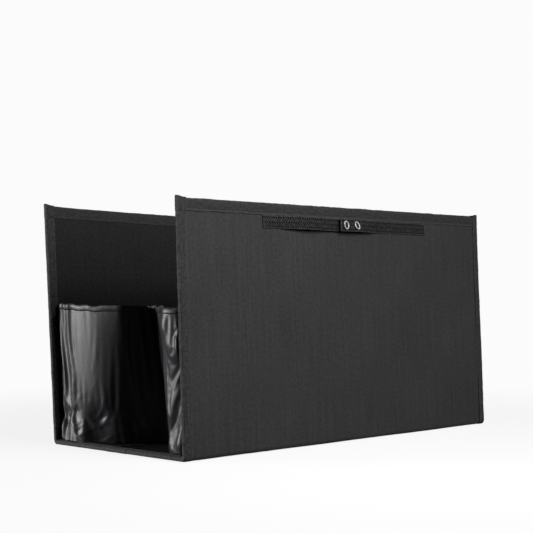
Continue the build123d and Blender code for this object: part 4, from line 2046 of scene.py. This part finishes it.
@dataclass
class Studio:
    """A pale floor that fades into a white surround, soft lights and the camera."""

    floor_half: float = 40.0
    floor_down: float = 0.6 * MM
    floor_grey: float = 0.21
    white: float = 0.965
    near_white: float = 0.85
    fade: tuple[float, float] = (0.36, 1.0)
    ambient: float = 0.010
    eye: tuple[float, float, float] = (-1.3307, -1.2403, 0.2065)
    look: tuple[float, float, float] = (0.7217, 0.6920, 0.01227)
    roll: float = math.radians(0.173)
    lens: float = 89.28
    lamps: tuple[tuple, ...] = (
        ("end_light", (-1.87, 1.52, 0.36), (-0.3, 0.05, 0.1), (0.9, 0.55), 33),
        ("front_fill", (1.3, -3.0, 1.2), (0.0, -0.1, 0.15), (1.8, 1.2), 44),
        ("corner_light", (-0.25, -0.70, 0.66), (-0.23, -0.12, 0.29), (0.24, 0.24), 3.8))

    def surround(self) -> None:
        """White to the camera, and dimmer as a light."""
        world = bpy.data.worlds.new("surround")
        world.use_nodes = True
        bpy.context.scene.world = world
        wire = Wiring(world.node_tree)
        node = world.node_tree.nodes["Background"]
        seen = wire.add("ShaderNodeLightPath").outputs["Is Camera Ray"]
        grey = (self.ambient,) * 3 + (1,)
        wire.put(node.inputs["Color"], wire.mix(seen, grey, (self.white,) * 3 + (1,)))

    def floor(self) -> None:
        """A large level square that is mostly its own pale light, with a little shadow on it."""
        half = self.floor_half
        mesh = bpy.data.meshes.new("floor")
        corners = [(-half, -half), (half, -half), (half, half), (-half, half)]
        mesh.from_pydata([(x, y, -self.floor_down) for x, y in corners], [], [(0, 1, 2, 3)])
        made = bpy.data.objects.new("floor", mesh)
        bpy.context.scene.collection.objects.link(made)
        material = bpy.data.materials.new("pale_floor")
        material.use_nodes = True
        wire = Wiring(material.node_tree)
        material.node_tree.nodes.remove(material.node_tree.nodes["Principled BSDF"])
        output = material.node_tree.nodes["Material Output"]
        pale = wire.add("ShaderNodeEmission")
        pale.inputs["Color"].default_value = (1, 1, 1, 1)
        place = wire.add("ShaderNodeTexCoord").outputs["Object"]
        away = wire.add("ShaderNodeVectorMath", operation="LENGTH")
        wire.put(away.inputs[0], place)
        far = wire.ramp(away.outputs["Value"], *self.fade)
        rise = self.white - self.near_white
        wire.put(pale.inputs["Strength"], wire.math("MULTIPLY_ADD", far, rise, self.near_white))
        lit = wire.add("ShaderNodeBsdfDiffuse")
        wire.put(lit.inputs["Color"], wire.mix(far, (self.floor_grey,) * 3 + (1,), (0, 0, 0, 1)))
        both = wire.add("ShaderNodeAddShader")
        wire.put(both.inputs[0], pale.outputs[0])
        wire.put(both.inputs[1], lit.outputs[0])
        dim = wire.add("ShaderNodeEmission")
        dim.inputs["Strength"].default_value = 0.02
        seen = wire.add("ShaderNodeLightPath").outputs["Is Camera Ray"]
        choose = wire.add("ShaderNodeMixShader")
        wire.put(choose.inputs[0], seen)
        wire.put(choose.inputs[1], dim.outputs[0])
        wire.put(choose.inputs[2], both.outputs[0])
        wire.put(output.inputs["Surface"], choose.outputs[0])
        mesh.materials.append(material)

    def lamp(self, name: str, place: tuple, aim: tuple, size: tuple, power: float) -> None:
        """A rectangular soft light turned towards a point.

        Args:
            name: the light's name.
            place: where it stands.
            aim: the point that it faces.
            size: its two sides.
            power: watts.
        """
        data = bpy.data.lights.new(name, "AREA")
        data.shape = "RECTANGLE"
        data.size, data.size_y = size
        data.energy = power
        made = bpy.data.objects.new(name, data)
        made.location = place
        made.rotation_euler = (Vector(aim) - Vector(place)).to_track_quat("-Z", "Y").to_euler()
        bpy.context.scene.collection.objects.link(made)

    def camera(self) -> None:
        """The camera: its right and up directions turned by the roll about the way it looks."""
        data = bpy.data.cameras.new("camera")
        data.lens = self.lens
        data.sensor_width = 36
        data.clip_end = 100
        made = bpy.data.objects.new("camera", data)
        ahead = Vector(self.look).normalized()
        level = ahead.cross(Vector((0, 0, 1))).normalized()
        over = level.cross(ahead)
        right = level * math.cos(self.roll) + over * math.sin(self.roll)
        above = over * math.cos(self.roll) - level * math.sin(self.roll)
        turn = Matrix((right, above, -ahead)).transposed()
        made.matrix_world = Matrix.Translation(Vector(self.eye)) @ turn.to_4x4()
        bpy.context.scene.collection.objects.link(made)
        bpy.context.scene.camera = made

    def build(self) -> None:
        """Makes everything round the object."""
        self.surround()
        self.floor()
        for lamp in self.lamps:
            self.lamp(*lamp)
        bpy.context.scene.view_settings.view_transform = "Standard"
        self.camera()


# ------------------------------------------------------------------ the whole bag


def lean_of(frame: dict, joint: str, wall: Wall) -> float:
    """A wall's lean towards the inside, from the direction of its strap's hinge line."""
    axis = next(j["axis"] for j in frame["joints"] if j["name"] == joint)
    return -wall.value * math.atan2(axis[1], axis[2])


def main() -> None:
    """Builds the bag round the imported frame."""
    logging.basicConfig(level=logging.INFO, format="%(message)s")
    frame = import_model()
    low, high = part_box("front_corner_roll")
    half_length = high.x
    half_width = -low.y
    lean = {wall: lean_of(frame, f"{wall.name.lower()}_strap_open", wall) for wall in Wall}
    paths = {wall: ShellPath(wall, half_length, half_width, HALF_PANEL, lean[wall], PANEL_HIGH)
             for wall in Wall}
    paths[Wall.REAR].sag = REAR_SAG
    LOG.info("half length %.4f, half width %.4f, leans %s", half_length, half_width, lean)
    thread = Thread()
    made: list[bpy.types.Object] = []
    for path in paths.values():
        made += [StiffBoard(path).build(base) for base in (False, True)]
        made += [PanelCloth(path, inner).build() for inner in (False, True)]
        made += RimHem(path).build(thread)
        for end in End:
            made += EndBinding(path, end).build(thread)
        made += SnapStrap(path).build(thread)
    made += BaseCrease(half_length, HALF_CREASE, 2 * HALF_PANEL).build(thread)
    for end in End:
        gusset = EndGusset(end, paths[Wall.FRONT], paths[Wall.REAR], seed=21 + 8 * end.value)
        made += gusset.build(thread)
    wardrobe = Wardrobe()
    for piece in made:
        LOG.info("made %s: %d faces", piece.name, len(piece.data.polygons))
        wardrobe.dress(piece)
    for node in frame["nodes"].values():
        wardrobe.dress(node)
    Studio().build()


if __name__ == "__main__":
    main()
